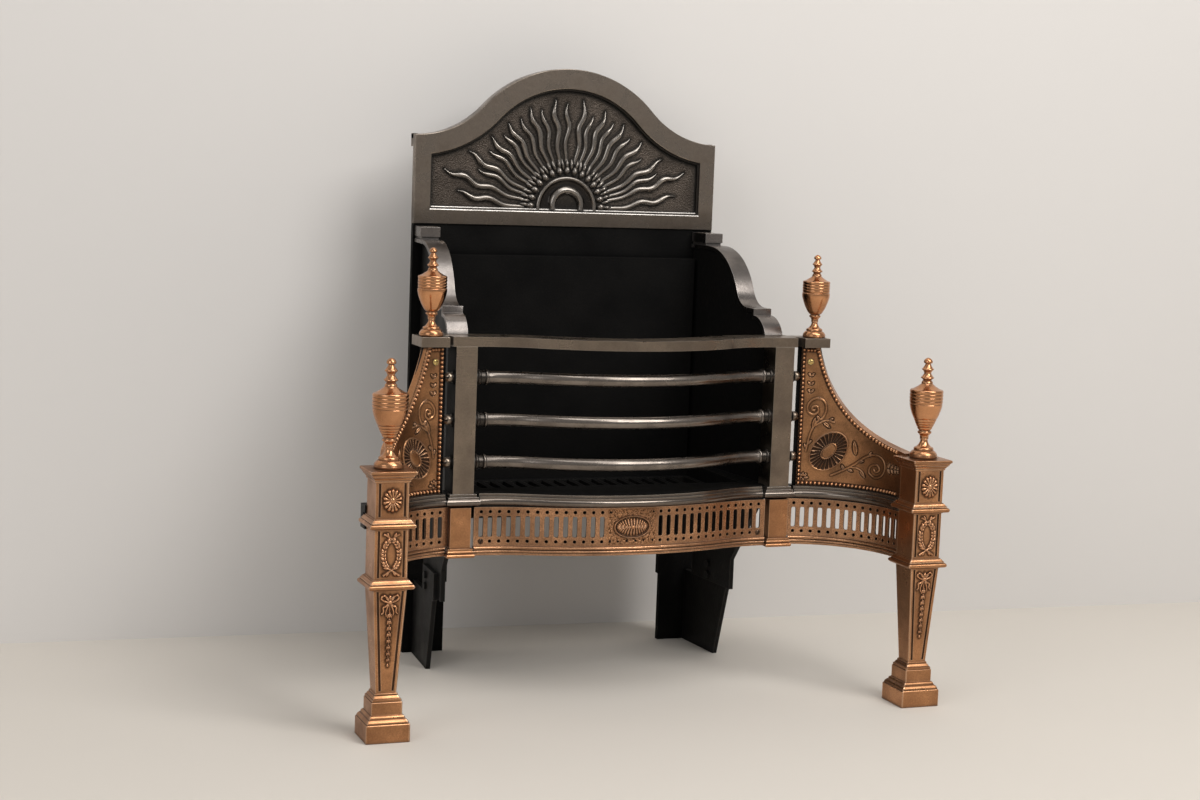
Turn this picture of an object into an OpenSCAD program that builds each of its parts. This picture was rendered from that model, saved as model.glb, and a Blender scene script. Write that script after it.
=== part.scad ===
// Serpentine fire basket: an arched iron back, a bowed polished steel front on copper legs,
// copper spandrels and frets, and a loose cast grate that lifts out of the hearth plate.
// Front is -Y, up is +Z, the floor is z = 0 and the origin is under the middle of the whole.

/* [Overall] */
// Distance between the axes of the two front legs
leg_spacing = 800; // [780:5:815]
// From the axes of the front legs to the front face of the back
back_depth = 447.5; // [430:2.5:480]
// Height of the top of the hearth plate
hearth_z = 299; // [290:1:310]
// Height of the top of the front rail
rail_top_z = 523; // [500:1:540]

/* [Front legs] */
// Width of the square blocks of a leg
leg_block_w = 45.5; // [40:0.5:48]
// Width over the mouldings of a leg
leg_lip_w = 63; // [60:0.5:66]
// Width of a leg where the taper meets the foot
leg_ankle_w = 28.6; // [24:0.2:32]
// Width of the foot block
foot_w = 60.4; // [56:0.2:64]
// Width of the band above the foot block
foot_band_w = 42.4; // [40:0.2:46]
// Height of the foot block
foot_block_h = 25; // [20:0.5:30]
// Height of the sloping moulding on the foot block
foot_slope_h = 11; // [9:0.5:14]
// Height of the plain band of the foot
foot_band_h = 17.5; // [14:0.5:22]
// Height of the stepped moulding at the ankle
foot_ogee_h = 11.5; // [9:0.5:14]
// Height of the tapered shaft
taper_h = 139.5; // [130:0.5:148]
// Height of each belt moulding
belt_h = 15; // [13:0.5:17]
// Height of the wreath block
wreath_block_h = 66; // [60:0.5:72]
// Height of the rosette block
rosette_block_h = 48; // [42:0.5:54]
// Height of the cap
cap_h = 15; // [13:0.5:18]
// Distance from a block's edge to the groove beside its panel
groove_inset = 4.6; // [4:0.1:6]
// Width of the groove beside a panel
groove_w = 1.8; // [1:0.1:2.4]
// Depth of the groove beside a panel
groove_d = 1.4; // [0.8:0.1:2]

/* [Front frame] */
// Width of the bowed middle of the front, block to block
bow_w = 452; // [430:2:460]
// Width of the stretch that curves forward, between its two turning points
bow_mid_w = 300; // [280:2:320]
// How far the rail bows forward
rail_bow = 65; // [50:1:75]
// Front to back depth of the rail
rail_d = 48; // [42:1:50]
// Thickness of the rail and shelves
rail_h = 14; // [11:0.5:18]
// Distance of the front face of the uprights behind the leg axes
front_y = 157.5; // [150:0.5:165]
// Distance from the end of the bow to the axis of an upright
upright_out = 21.5; // [20:0.5:24]
// Width of an upright
upright_w = 31; // [27:0.5:34]
// Depth of an upright
upright_d = 40; // [34:0.5:44]
// Width of the front edge of a shelf
shelf_w = 41.5; // [40:0.5:44]
// Gap between the rail's end and the shelf's front block
shelf_gap = 7.5; // [5:0.5:9]
// How far a shelf stands forward of the rail
shelf_step = 9.5; // [7:0.5:12]

/* [Bars] */
// Diameter of the bars
bar_d = 18; // [14:0.5:20]
// Distance from bar to bar
bar_pitch = 60.5; // [54:0.5:64]
// Height of the lowest bar's axis above the hearth plate
bar_first = 45; // [38:0.5:52]
// How far the bars bow forward
bar_bow = 59; // [45:1:62]
// Diameter of the largest collar of a bar
collar_d = 23; // [20:0.5:26]
// Length of the turned collars at each end of a bar
collar_l = 18; // [16:0.5:22]
// Diameter of the tenon that passes through an upright
tenon_d = 13; // [9:0.5:14]
// How far a riveted bar end stands out of its upright
rivet_h = 7.5; // [4:0.5:8]

/* [Ledge] */
// Height of the steel moulding round the hearth plate
ledge_h = 16.5; // [14:0.5:18]
// How far the steel moulding stands forward of the hearth plate
ledge_d = 12; // [10:0.5:13]
// How far the ledge bows forward
ledge_bow = 49; // [42:1:54]
// How far the block under an upright stands forward of the ledge
block_step = 6; // [4:0.5:8]
// Width of a block's flat back
block_w = 27; // [24:0.5:30]

/* [Frets and pilasters] */
// Thickness of the pierced frets
fret_t = 5; // [4:0.5:6]
// How far the middle fret bows forward
fret_bow = 36; // [30:1:40]
// Height of the bottom edge of the frets
fret_z = 209.5; // [206:0.5:214]
// Height of the frets' front face
fret_h = 69.5; // [66:0.5:72]
// Distance from slot to slot
slot_pitch = 13.6; // [12.4:0.1:13.8]
// Width of a slot
slot_w = 6.6; // [5:0.1:7.4]
// Height of a slot with its round head
slot_h = 30; // [24:0.5:34]
// Diameter of the dots above and below the slots
dot_d = 3.4; // [2.4:0.1:4]
// Slots on each side of the middle patera
middle_slots = 14; // [10:1:14]
// Slots in each side fret
side_slots = 14; // [10:1:14]
// Width of the middle patera
patera_w = 50; // [40:1:56]
// Width of a pilaster
pilaster_w = 30.5; // [27:0.5:32]

/* [Spandrels] */
// Thickness of the copper of the spandrels
spandrel_t = 4; // [3:0.25:5]
// Depth of the rim that runs along a spandrel's curved edge
spandrel_rim = 14; // [12:0.5:16]
// Thickness of the iron plate behind a spandrel
backing_t = 7; // [5:0.5:8]
// Diameter of the pearls
pearl_d = 5; // [3.8:0.2:5.6]
// Distance from pearl to pearl
pearl_pitch = 6.2; // [5.8:0.1:7]

/* [Back] */
// Width of the back
back_w = 497; // [490:1:510]
// Height of the foot of the arched panel
panel_z = 669.5; // [650:0.5:690]
// Height of the shoulders of the arch
shoulder_z = 805; // [790:1:820]
// Height of the peak of the arch
peak_z = 914; // [900:1:930]
// Thickness of the arched panel
panel_t = 14; // [12:0.5:18]
// Depth of the panel's sunk field
field_d = 9; // [6:0.5:10]
// Width of the frame at the sides of the field
frame_side_w = 25.5; // [20:0.5:30]
// Width of the frame along the arch
frame_arch_w = 31; // [24:0.5:36]
// Width of the frame under the field
frame_foot_w = 17; // [13:0.5:20]
// Depth of the hood that runs along the arch
hood_d = 25; // [20:0.5:32]
// Thickness of the hood
hood_t = 7; // [5:0.5:9]
// Thickness of the plain fire back
fireback_t = 10; // [8:0.5:14]
// Distance between the two hind legs
hind_gap = 366; // [350:2:372]
// Height of the hind feet
hind_h = 110; // [100:1:120]

/* [Cheeks] */
// Distance between the inner edges of the rims where they meet the back
cheek_gap_back = 431; // [425:1:440]
// Distance from the inner edge of a rim at the rail to the axis of the upright
rim_in = 14; // [10:0.5:18]
// Width of a rim
rim_w = 30.5; // [26:0.5:33]
// Thickness of a rim
rim_t = 6; // [4:0.5:8]
// Thickness of a cheek
cheek_t = 14; // [10:0.5:18]
// Radius of the round shoulder of a rim
rim_shoulder_r = 106; // [95:1:118]
// Depth of the block at the top of a rim
rim_block_d = 44.5; // [40:0.5:50]
// Height of the block at the top of a rim
rim_block_h = 15; // [12:0.5:18]

/* [Finials] */
// Height of the finials on the legs
front_finial_h = 144.4; // [130:0.4:160]
// Height of the finials on the shelves
rear_finial_h = 119.4; // [105:0.4:135]
// Distance of a rear finial from the front edge of its shelf
rear_finial_in = 18.5; // [17.5:0.5:22]
// Diameter of the studs inside the finials
stud_d = 6; // [4:0.5:8]

/* [Fire] */
// Thickness of the loose grate
grate_h = 14; // [10:0.5:18]
// Width of the loose grate
grate_w = 406; // [390:2:410]
// Distance from the loose grate to the fire back
grate_back_gap = 44.5; // [42:0.5:60]
// Distance from rib to rib
rib_pitch = 21; // [18:0.5:26]
// Width of a rib
rib_w = 9; // [6:0.5:12]
// Play round the loose grate
grate_play = 2; // [1:0.25:3]
// Height of the fire slab
slab_h = 325; // [290:1:340]
// Gap between the fire slab and the inner edge of each rim
slab_gap = 2.5; // [1:0.5:8]

/* [Hidden] */
$fn = 72;

// Finishes, seen in the plain views only
copper = [0.72, 0.49, 0.33];
steel = [0.47, 0.44, 0.40];
iron = [0.13, 0.13, 0.13];
brass = [0.74, 0.64, 0.34];

// Running and seating clearances
fit = 0.2;
seat = 0.3;
weld = 0.5;
seam = 0.01;
seam_a = 0.5;
seam_step = 0.03;
far = 1200;

// Plan of the front
leg_x = leg_spacing / 2;
bow_half = bow_w / 2;
upright_x = bow_half + upright_out;
turn_x = bow_mid_w / 2;
side_cx = upright_x;
side_inset = 16;
side_top_y = front_y + ledge_d;
side_r = leg_x - side_inset - side_cx;
side_cy = side_top_y - side_r;
leg_back_y = leg_block_w / 2;

// Heights of the front legs, from the floor up
z_foot_slope = foot_block_h;
z_foot_band = z_foot_slope + foot_slope_h;
z_foot_ogee = z_foot_band + foot_band_h;
z_taper = z_foot_ogee + foot_ogee_h;
z_belt_low = z_taper + taper_h;
z_wreath = z_belt_low + belt_h;
z_belt_high = z_wreath + wreath_block_h;
z_rosette = z_belt_high + belt_h;
z_cap = z_rosette + rosette_block_h;
leg_h = z_cap + cap_h;

// Heights of the front frame
rail_z = rail_top_z - rail_h;
ledge_z = hearth_z - ledge_h;
fret_top_z = fret_z + fret_h;
rail_back_y = front_y + rail_d;
rail_end_x = upright_x + upright_w / 2 + 5;
shelf_x0 = rail_end_x + shelf_gap;
shelf_x1 = shelf_x0 + shelf_w;
shelf_y = front_y - shelf_step;

// Back and cheeks
back_half = back_w / 2;
cheek_front_y = front_y + upright_d + 1;
rim_front_y = cheek_front_y;
cheek_gap_front = 2 * (upright_x - rim_in);
splay = (cheek_gap_front - cheek_gap_back) / 2 / (back_depth - cheek_front_y);
splay_a = atan(splay);
cheek_inset = 4;
hind_edge_x = hind_gap / 2;

// The whole runs from the lip of a front leg to the back of the hood
y_front_most = -max(leg_lip_w, foot_w) / 2;
y_back_most = back_depth + hood_d;
mid_y = (y_front_most + y_back_most) / 2;

module place() translate([0, -mid_y, 0]) children();
module other_side() mirror([1, 0, 0]) children();

// Angle and radii of a bow made of one arc forward and two arcs back that meet smoothly
function bow_angle(bow) = 2 * atan(bow / bow_half);
function bow_mid_r(bow) = turn_x / sin(bow_angle(bow));
function bow_end_r(bow) = (bow_half - turn_x) / sin(bow_angle(bow));

// Carries a profile along the bowed front: profile x is forward of the line, y is height.
// The end arcs run a hair into the middle one and are a hair slimmer about the heart.
module bow_sweep(end_y, bow, heart) {
    a = bow_angle(bow);
    rm = bow_mid_r(bow);
    re = bow_end_r(bow);
    translate([0, end_y - bow + rm, 0])
        rotate([0, 0, 270 - a])
            rotate_extrude(angle = 2 * a, $fn = 180)
                translate([rm, 0]) children();
    for (side = [0, 1])
        mirror([side, 0, 0])
            translate([bow_half, end_y - re, 0])
                rotate([0, 0, 90])
                    rotate_extrude(angle = a + seam_a, $fn = 180)
                        mirror([1, 0])
                            translate([heart[0] - re, heart[1]])
                                scale(1 - seam)
                                    translate(-heart) children();
}

// Carries the same profile straight, from x0 to x1
module straight_sweep(end_y, x0, x1)
    translate([x0, end_y, 0])
        rotate([90, 0, 90])
            linear_extrude(x1 - x0)
                mirror([1, 0]) children();

// Carries a profile round the quarter bend and back to the leg
module side_sweep(start_a)
    intersection() {
        union() {
            translate([side_cx, side_cy, 0])
                rotate_extrude(angle = 90 - start_a, $fn = 180)
                    mirror([1, 0]) translate([-side_r, 0]) children();
            translate([side_cx, side_cy + 0.001, 0])
                rotate([90, 0, 0])
                    linear_extrude(side_cy - leg_back_y + 5)
                        mirror([1, 0]) translate([-side_r, 0]) children();
        }
        translate([0, leg_back_y, -1]) cube([far, far, far]);
    }

// Room that the belts and the cap of a leg take behind it
module leg_room()
    for (z = [z_belt_low, z_belt_high, z_cap])
        box(side_cx, far, 0, leg_lip_w / 2 + seat, z - seat, z + belt_h + seat);

// Angle at which the quarter bend passes a given x
function side_angle(x) = asin((x - side_cx) / side_r);

// Position and heading of a bow at a given x
function bow_y(end_y, bow, x) = abs(x) < turn_x
    ? end_y - bow + bow_mid_r(bow) - sqrt(pow(bow_mid_r(bow), 2) - x * x)
    : end_y - bow_end_r(bow) + sqrt(pow(bow_end_r(bow), 2) - pow(bow_half - abs(x), 2));
function bow_heading(bow, x) = sign(x) * (abs(x) < turn_x
    ? asin(abs(x) / bow_mid_r(bow))
    : asin((bow_half - abs(x)) / bow_end_r(bow)));

// Plate standing across the basket: drawn in x and z, its front face at y
module cross_plate(y, t) translate([0, y + t, 0]) rotate([90, 0, 0]) linear_extrude(t) children();

// Plate running front to back: drawn in y and z, its left face at x
module long_plate(x, t) translate([x, 0, 0]) rotate([90, 0, 90]) linear_extrude(t) children();

// Box by its limits
module box(x0, x1, y0, y1, z0, z1) translate([x0, y0, z0]) cube([x1 - x0, y1 - y0, z1 - z0]);

// Ellipse as an even ring of points
module oval(w, h, n = 48)
    polygon([for (i = [0:n - 1]) [w / 2 * cos(360 * i / n), h / 2 * sin(360 * i / n)]]);

// Region under the arch of the back, its edge moved inwards by inset
arch_rise = peak_z - shoulder_z;
arch_turn_x = 138;
arch_a = 2 * atan(arch_rise / back_half);
arch_mid_r = arch_turn_x / sin(arch_a);
arch_end_r = (back_half - arch_turn_x) / sin(arch_a);
module arch(inset, side_inset, foot_z) {
    rm = arch_mid_r - inset;
    re = arch_end_r + inset;
    half = back_half - side_inset;
    tx = rm * sin(arch_a);
    tz = peak_z - arch_mid_r + rm * cos(arch_a);
    translate([-tx, foot_z]) square([2 * tx, tz - foot_z]);
    intersection() {
        translate([0, peak_z - arch_mid_r]) circle(rm, $fn = 240);
        translate([-tx, tz - weld]) square([2 * tx, far]);
    }
    for (side = [0, 1])
        mirror([side, 0])
            difference() {
                translate([tx - weld, foot_z]) square([half - tx + weld, tz - foot_z]);
                translate([back_half, shoulder_z + arch_end_r]) circle(re + seam_step, $fn = 240);
            }
}

// Back
fireback_step = 2.5;
fireback_y = back_depth + fireback_step;
module back_panel() {
    color(steel) {
        difference() {
            cross_plate(back_depth, panel_t) arch(0, 0, panel_z);
            cross_plate(back_depth - 1, field_d + 1)
                arch(frame_arch_w, frame_side_w, panel_z + frame_foot_w + 5.5);
            for (x = bolt_xs)
                translate([x, back_depth + panel_t - 8 - seat, panel_z + 8])
                    rotate([-90, 0, 0]) cylinder(d = bolt_d + 2 * fit, h = 40);
        }
        cross_plate(back_depth, hood_d)
            difference() {
                arch(0, 0, shoulder_z - 14);
                arch(hood_t, -1, shoulder_z - 20);
            }
        cross_plate(back_depth + panel_t - 1, hood_d - panel_t + 1)
            for (side = [0, 1])
                mirror([side, 0])
                    translate([back_half - hood_t, shoulder_z - hood_t - 10]) square([hood_t, 11]);
        box(-back_half, back_half, back_depth - 1.2, back_depth + 2,
            panel_z, panel_z + 4);
    }
}

// Sunburst
ray_count = 25;
ray_short_r = 156;
ray_long_r = 166;
ray_reach = [25, 45, 0, 15];
sun_r = 50;
sun_bore_r = 24;
sun_ring_r = 31;
ray_t = 3;
function ray_r(i) = (min(i, ray_count + 1 - i) % 2 == 1 ? ray_short_r : ray_long_r)
    + (min(i, ray_count + 1 - i) <= 4 ? ray_reach[min(i, ray_count + 1 - i) - 1] : 0);
sun_z = panel_z + 28.5;
field_y = back_depth + field_d;
module half_ring(r1, r0)
    intersection() {
        difference() {
            circle(r1);
            circle(r0);
        }
        translate([-r1, 0]) square([2 * r1, r1]);
    }
module sunburst() {
    color(steel)
        translate([0, 0, sun_z]) {
            cross_plate(field_y - 5, 5) half_ring(sun_r, sun_bore_r);
            cross_plate(field_y - ray_t, ray_t)
                for (i = [1:ray_count])
                    rotate(180 * i / (ray_count + 1))
                        polygon([[sun_r - 6, -4], [ray_r(i) * 0.6, -2.6], [ray_r(i), 0],
                            [ray_r(i) * 0.6, 2.6], [sun_r - 6, 4]]);
            translate([0, field_y - 5, 0])
                rotate([90, 0, 0])
                    rotate_extrude(angle = 180)
                        translate([sun_ring_r - 3.5, 0]) circle(3.5, $fn = 24);
        }
}

// Plain fire back with its hind legs
strip_t = 6;
strip_z0 = panel_z - 26;
strip_z1 = panel_z + 16;
arch_under_z = 210;
module fire_back() {
    color(iron) {
        difference() {
            cross_plate(fireback_y, fireback_t)
                translate([-back_half, 0]) square([back_w, panel_z]);
            box(-hind_edge_x, hind_edge_x, back_depth, back_depth + 40, -1, hind_h);
            box(-hind_edge_x + 4, hind_edge_x - 4, back_depth, back_depth + 40, -1, arch_under_z);
        }
        difference() {
            box(-back_half + 14, back_half - 14, back_depth + panel_t, back_depth + panel_t + strip_t,
                strip_z0, strip_z1);
            for (x = bolt_xs)
                translate([x, 0, panel_z + 8])
                    rotate([-90, 0, 0]) cylinder(d = bolt_d + 2 * fit, h = far);
        }
        box(-back_half + 14, back_half - 14, fireback_y + fireback_t - weld,
            back_depth + panel_t + weld, strip_z0, panel_z);
    }
}

// Bolts from the strip into the foot of the panel
bolt_d = 6;
bolt_head_d = 11;
bolt_head_h = 4;
bolt_xs = [-180, -60, 60, 180];
module back_bolts()
    color(iron)
        for (x = bolt_xs)
            translate([x, back_depth + panel_t - 8, panel_z + 8])
                rotate([-90, 0, 0]) {
                    cylinder(d = bolt_d, h = 8 + strip_t + 1);
                    translate([0, 0, 8 + strip_t]) cylinder(d = bolt_head_d, h = bolt_head_h);
                }

// Fire slab
slab_y = back_depth - 17.5;
slab_half = cheek_gap_back / 2 - slab_gap;
module fire_slab()
    color(iron) box(-slab_half, slab_half, slab_y, fireback_y, hearth_z, hearth_z + slab_h);

// Frame of a splayed cheek: x is outwards from the rim's inner edge, y is forward as -y
module splayed()
    difference() {
        translate([cheek_gap_back / 2, back_depth, 0]) rotate([0, 0, splay_a]) children();
        box(0, far, fireback_y, far, -1, far);
    }

// Curve of the top of a cheek, in y from the back and z, its edge lowered by t
rim_top_z = rail_top_z + 124;
rim_low_z = rail_top_z + 37;
rim_toe_z = rail_top_z + 27;
rim_end_y = cheek_front_y - back_depth;
rim_toe_r = 40;
rim_step_y = rim_end_y + rim_toe_r - 1;
rim_flat_y = rim_step_y + 19.5;
rim_turn_y = -rim_block_d - 12;
rim_a = 2 * atan((rim_top_z - rim_low_z) / (rim_turn_y - rim_flat_y));
rim_hollow_r = (rim_turn_y - rim_flat_y) / sin(rim_a) - rim_shoulder_r;
module cheek_top(t, z0) {
    r1 = rim_shoulder_r - t;
    r2 = rim_hollow_r + t;
    my = rim_turn_y - r1 * sin(rim_a);
    mz = rim_top_z - rim_shoulder_r + r1 * cos(rim_a);
    translate([rim_turn_y, z0]) square([4 - rim_turn_y, rim_top_z - t - z0]);
    intersection() {
        translate([rim_turn_y, rim_top_z - rim_shoulder_r]) circle(r1, $fn = 240);
        translate([my, mz - weld]) square([rim_turn_y - my + weld, far]);
    }
    translate([my, z0]) square([rim_turn_y - my + weld, mz - z0]);
    difference() {
        translate([rim_flat_y, z0]) square([my - rim_flat_y + weld, mz - z0]);
        translate([rim_flat_y, rim_low_z + rim_hollow_r]) circle(r2, $fn = 240);
    }
    translate([rim_step_y + t, z0])
        square([rim_flat_y - rim_step_y - t + weld, rim_low_z - t - z0]);
    translate([rim_step_y - weld, z0]) square([t + 2 * weld, rim_toe_z - t - z0]);
    intersection() {
        translate([rim_step_y, rim_toe_z - rim_toe_r]) circle(rim_toe_r - t, $fn = 240);
        translate([rim_end_y, z0]) square([rim_step_y - rim_end_y + weld, far]);
    }
    translate([rim_end_y, z0]) square([rim_step_y - rim_end_y + weld, rim_toe_z - rim_toe_r - z0]);
}

// Cheek with its lug
lug_y0 = -163.5;
lug_y1 = -36.5;
lug_z = 116;
lug_knee_z = 163;
lug_t = cheek_t / 2;
module cheek() {
    color(iron)
        difference() {
            splayed() {
                long_plate(cheek_inset, cheek_t)
                    intersection() {
                        cheek_top(rim_t, fret_top_z);
                        translate([rim_end_y, fret_top_z]) square([far, far]);
                    }
                long_plate(cheek_inset, lug_t)
                    polygon([[lug_y1, lug_z], [lug_y1, fret_top_z + 1], [rim_end_y, fret_top_z + 1],
                        [rim_end_y, fret_top_z - 4], [lug_y0, lug_knee_z], [lug_y0, lug_z]]);
            }
            box(0, far, 0, rail_back_y + seat, rail_z - seat, far);
            box(0, far, 0, cheek_front_y, -1, far);
            lug_bolt_holes(bolt_d + 2 * fit);
        }
}

// Rim that caps a cheek
module cheek_rim() {
    color(steel)
        difference() {
            splayed() {
                long_plate(0, rim_w)
                    difference() {
                        cheek_top(0, rail_top_z - 30);
                        cheek_top(rim_t, rail_top_z - 31);
                    }
                long_plate(0, rim_w)
                    translate([-rim_block_d, rim_top_z + 4]) square([rim_block_d + 4, rim_block_h]);
                long_plate(2, rim_w - 4)
                    translate([-rim_block_d + 2, rim_top_z - 1]) square([rim_block_d + 2, 6]);
            }
            box(0, far, 0, far, 0, rail_top_z);
        }
}

// Hind foot, bolted to the lug
hind_foot_top_z = 155;
module hind_foot() {
    color(iron)
        difference() {
            splayed()
                long_plate(cheek_inset + lug_t, lug_t)
                    polygon([[4, 0], [-106.5, 0], [-139.5, 112], [lug_y0 + 18, 114],
                        [lug_y0 + 18, hind_foot_top_z], [lug_y1 - 30, hind_foot_top_z],
                        [lug_y1 - 30, lug_z], [4, lug_z]]);
            lug_bolt_holes(bolt_d + 2 * fit);
        }
}

// Bolts through each lug and hind foot
lug_bolt_y = -92;
lug_bolt_zs = [126, 143];
module lug_bolt_holes(d)
    splayed()
        for (z = lug_bolt_zs)
            translate([0, lug_bolt_y, z]) rotate([0, 90, 0]) cylinder(d = d, h = 60);
module lug_bolts()
    color(iron)
        for (side = [0, 1])
            mirror([side, 0, 0])
                splayed()
                    for (z = lug_bolt_zs)
                        translate([cheek_inset - bolt_head_h, lug_bolt_y, z])
                            rotate([0, 90, 0]) {
                                cylinder(d = bolt_head_d, h = bolt_head_h);
                                cylinder(d = bolt_d, h = bolt_head_h + 2 * lug_t + 1);
                                translate([0, 0, bolt_head_h + 2 * lug_t])
                                    cylinder(d = bolt_head_d, h = bolt_head_h);
                            }

// Hearth plate
strip_w = 18;
grate_y = rail_back_y + 4;
grate_d = fireback_y - grate_back_gap - grate_y;
grate_z = hearth_z - 35;
tray_t = 6;
tray_lip = 8;
lip_h = ledge_z - fret_top_z;
fret_end_y = side_top_y - 6.5;
module hearth_plan(end_y, bow) {
    rm = bow_mid_r(bow);
    re = bow_end_r(bow);
    a = bow_angle(bow);
    ty = end_y - re * (1 - cos(a));
    intersection() {
        translate([0, end_y - bow + rm]) circle(rm, $fn = 240);
        translate([-turn_x, end_y - bow - 1]) square([bow_mid_w, ty - end_y + bow + 1 + weld]);
    }
    for (side = [0, 1])
        mirror([side, 0])
            difference() {
                translate([turn_x - weld, ty]) square([bow_half - turn_x + weld, end_y - ty + 1]);
                translate([bow_half, end_y - re]) circle(re, $fn = 240);
            }
    translate([-turn_x, ty]) square([bow_mid_w, cheek_front_y - seat - ty]);
    for (side = [0, 1])
        mirror([side, 0]) {
            translate([turn_x - weld, end_y + weld])
                square([bow_half - turn_x + weld, cheek_front_y - seat - end_y - weld]);
            translate([bow_half - 1, side_top_y])
                square([rail_end_x - bow_half, cheek_front_y - seat - side_top_y]);
            side_plan();
        }
    polygon([[-plate_half(cheek_front_y - 1), cheek_front_y - 1],
        [plate_half(cheek_front_y - 1), cheek_front_y - 1],
        [plate_half(fireback_y), fireback_y], [-plate_half(fireback_y), fireback_y]]);
}
function plate_half(y) = cheek_gap_back / 2 + cheek_inset - seat + splay * (back_depth - y);
module side_plan() {
    intersection() {
        translate([side_cx, side_cy])
            difference() {
                circle(side_r + strip_w, $fn = 240);
                circle(side_r, $fn = 240);
            }
        translate([side_cx, side_cy]) square(far);
    }
    translate([side_cx + side_r, leg_back_y]) square([strip_w, side_cy - leg_back_y + weld]);
    translate([side_cx + side_r, leg_back_y]) square([ear_x - side_cx - side_r, ear_d]);
}
ear_x = 425;
ear_d = 22;
module grate_hole(inset, z0, z1)
    box(-grate_w / 2 - grate_play + inset, grate_w / 2 + grate_play - inset,
        grate_y - grate_play + inset, grate_y + grate_d + grate_play - inset, z0, z1);
module hearth_plate() {
    color(iron)
        difference() {
            union() {
                translate([0, 0, fret_top_z])
                    linear_extrude(lip_h) hearth_plan(fret_end_y, fret_bow);
                translate([0, 0, ledge_z - weld / 10])
                    linear_extrude(ledge_h + weld / 10) hearth_plan(side_top_y, ledge_bow);
                grate_hole(-tray_t, grate_z - 7, fret_top_z + 1);
            }
            grate_hole(0, grate_z, far);
            grate_hole(tray_lip, 0, far);
            for (side = [0, 1])
                mirror([side, 0, 0]) {
                    leg_room();
                    leg_bolt_holes(bolt_d + 2 * fit);
                    translate([leg_bolt_x, leg_back_y + ear_d, leg_bolt_z])
                        rotate([-90, 0, 0]) cylinder(d = bolt_head_d + 2 * seat, h = 30);
                    box(block_x0 - ledge_d, block_x1 + ledge_d, 0, side_top_y, ledge_z, far);
                }
        }
}

// Loose grate
module bottom_grate() {
    count = floor((grate_w - rib_w) / rib_pitch / 2);
    z = grate_z + seat;
    color(iron) {
        for (y = [grate_y, grate_y + grate_d - 12])
            box(-grate_w / 2, grate_w / 2, y, y + 12, z, z + grate_h);
        for (x = [-grate_w / 2, grate_w / 2 - rib_w])
            box(x, x + rib_w, grate_y, grate_y + grate_d, z, z + grate_h);
        for (i = [-count + 1:count - 1])
            box(i * rib_pitch - rib_w / 2, i * rib_pitch + rib_w / 2,
                grate_y + 1, grate_y + grate_d - 1, z, z + grate_h - 1);
    }
}

// Moulding of the ledge, x forward and y height
round_r = 5;
module ledge_profile() {
    translate([0, ledge_z]) square([ledge_d - round_r, ledge_h]);
    translate([ledge_d - round_r, ledge_z + round_r]) circle(round_r);
    translate([0, ledge_z + 2 * round_r - 1]) square([ledge_d - 2.5, 3.3]);
    translate([0, ledge_z + 2 * round_r + 3]) square([ledge_d - 6, ledge_h - 2 * round_r - 3]);
}
block_x0 = upright_x - block_w / 2;
block_x1 = upright_x + block_w / 2;
module block_room()
    box(block_x0 - ledge_d - 0.01, block_x1 + ledge_d + 0.01, 0, far, 0, far);
module ledge_middle()
    color(steel)
        difference() {
            bow_sweep(side_top_y, ledge_bow, [ledge_d / 3, ledge_z + ledge_h / 2]) ledge_profile();
            block_room();
            other_side() block_room();
        }
module ledge_block()
    color(steel)
        intersection() {
            straight_sweep(side_top_y - block_step, 0, far)
                union() {
                    ledge_profile();
                    translate([0.1 - block_step, ledge_z]) square([block_step + 1, ledge_h]);
                }
            translate([0, far, 0])
                rotate([90, 0, 0])
                    linear_extrude(far) {
                        translate([block_x0, ledge_z]) square([block_w, ledge_h]);
                        translate([block_x1 - 0.5, 0]) ledge_profile();
                        translate([block_x0 + 0.5, 0]) mirror([1, 0]) ledge_profile();
                    }
        }
module ledge_side()
    color(steel)
        difference() {
            side_sweep(side_angle(block_x1)) ledge_profile();
            block_room();
            leg_room();
        }

// Uprights, pierced for the bars
bar_y = front_y + 10;
bar_zs = [for (i = [0:2]) hearth_z + bar_first + i * bar_pitch];
upright_x0 = upright_x - upright_w / 2;
upright_x1 = upright_x + upright_w / 2;
module upright()
    color(steel)
        difference() {
            box(upright_x0, upright_x1, front_y, front_y + upright_d, hearth_z, rail_z);
            for (z = bar_zs)
                translate([0, bar_y, z])
                    rotate([0, 90, 0]) cylinder(d = tenon_d + 2 * fit, h = far);
        }

// Bars
collar_x = upright_x0 - collar_l - 1;
rivet_d = 18;
rivet_r = (pow(rivet_d / 2, 2) + pow(rivet_h, 2)) / (2 * rivet_h);
module bar(i)
    color(steel) {
        bow_sweep(bar_y, bar_bow, [0, bar_zs[i]]) translate([0, bar_zs[i]]) circle(d = bar_d);
        for (side = [0, 1])
            mirror([side, 0, 0])
                translate([0, bar_y, bar_zs[i]])
                    rotate([0, 90, 0])
                        rotate_extrude() {
                            translate([0, bow_half - 1]) square([tenon_d / 2, upright_x1 - bow_half + 1.5]);
                            translate([0, collar_x]) square([bar_d / 2 + 0.6, collar_l + 1 - seat]);
                            translate([collar_d / 2 - 3, collar_x + 3.2]) circle(3);
                            translate([0, collar_x + 0.2]) square([collar_d / 2 - 3, 6]);
                            translate([collar_d / 2 - 3, collar_x + collar_l - 3.5]) circle(3);
                            translate([0, collar_x + collar_l - 6.5]) square([collar_d / 2 - 3, 6]);
                            intersection() {
                                translate([0, upright_x1 + rivet_h - rivet_r]) circle(rivet_r);
                                translate([0, upright_x1]) square(far);
                            }
                        }
    }

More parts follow.
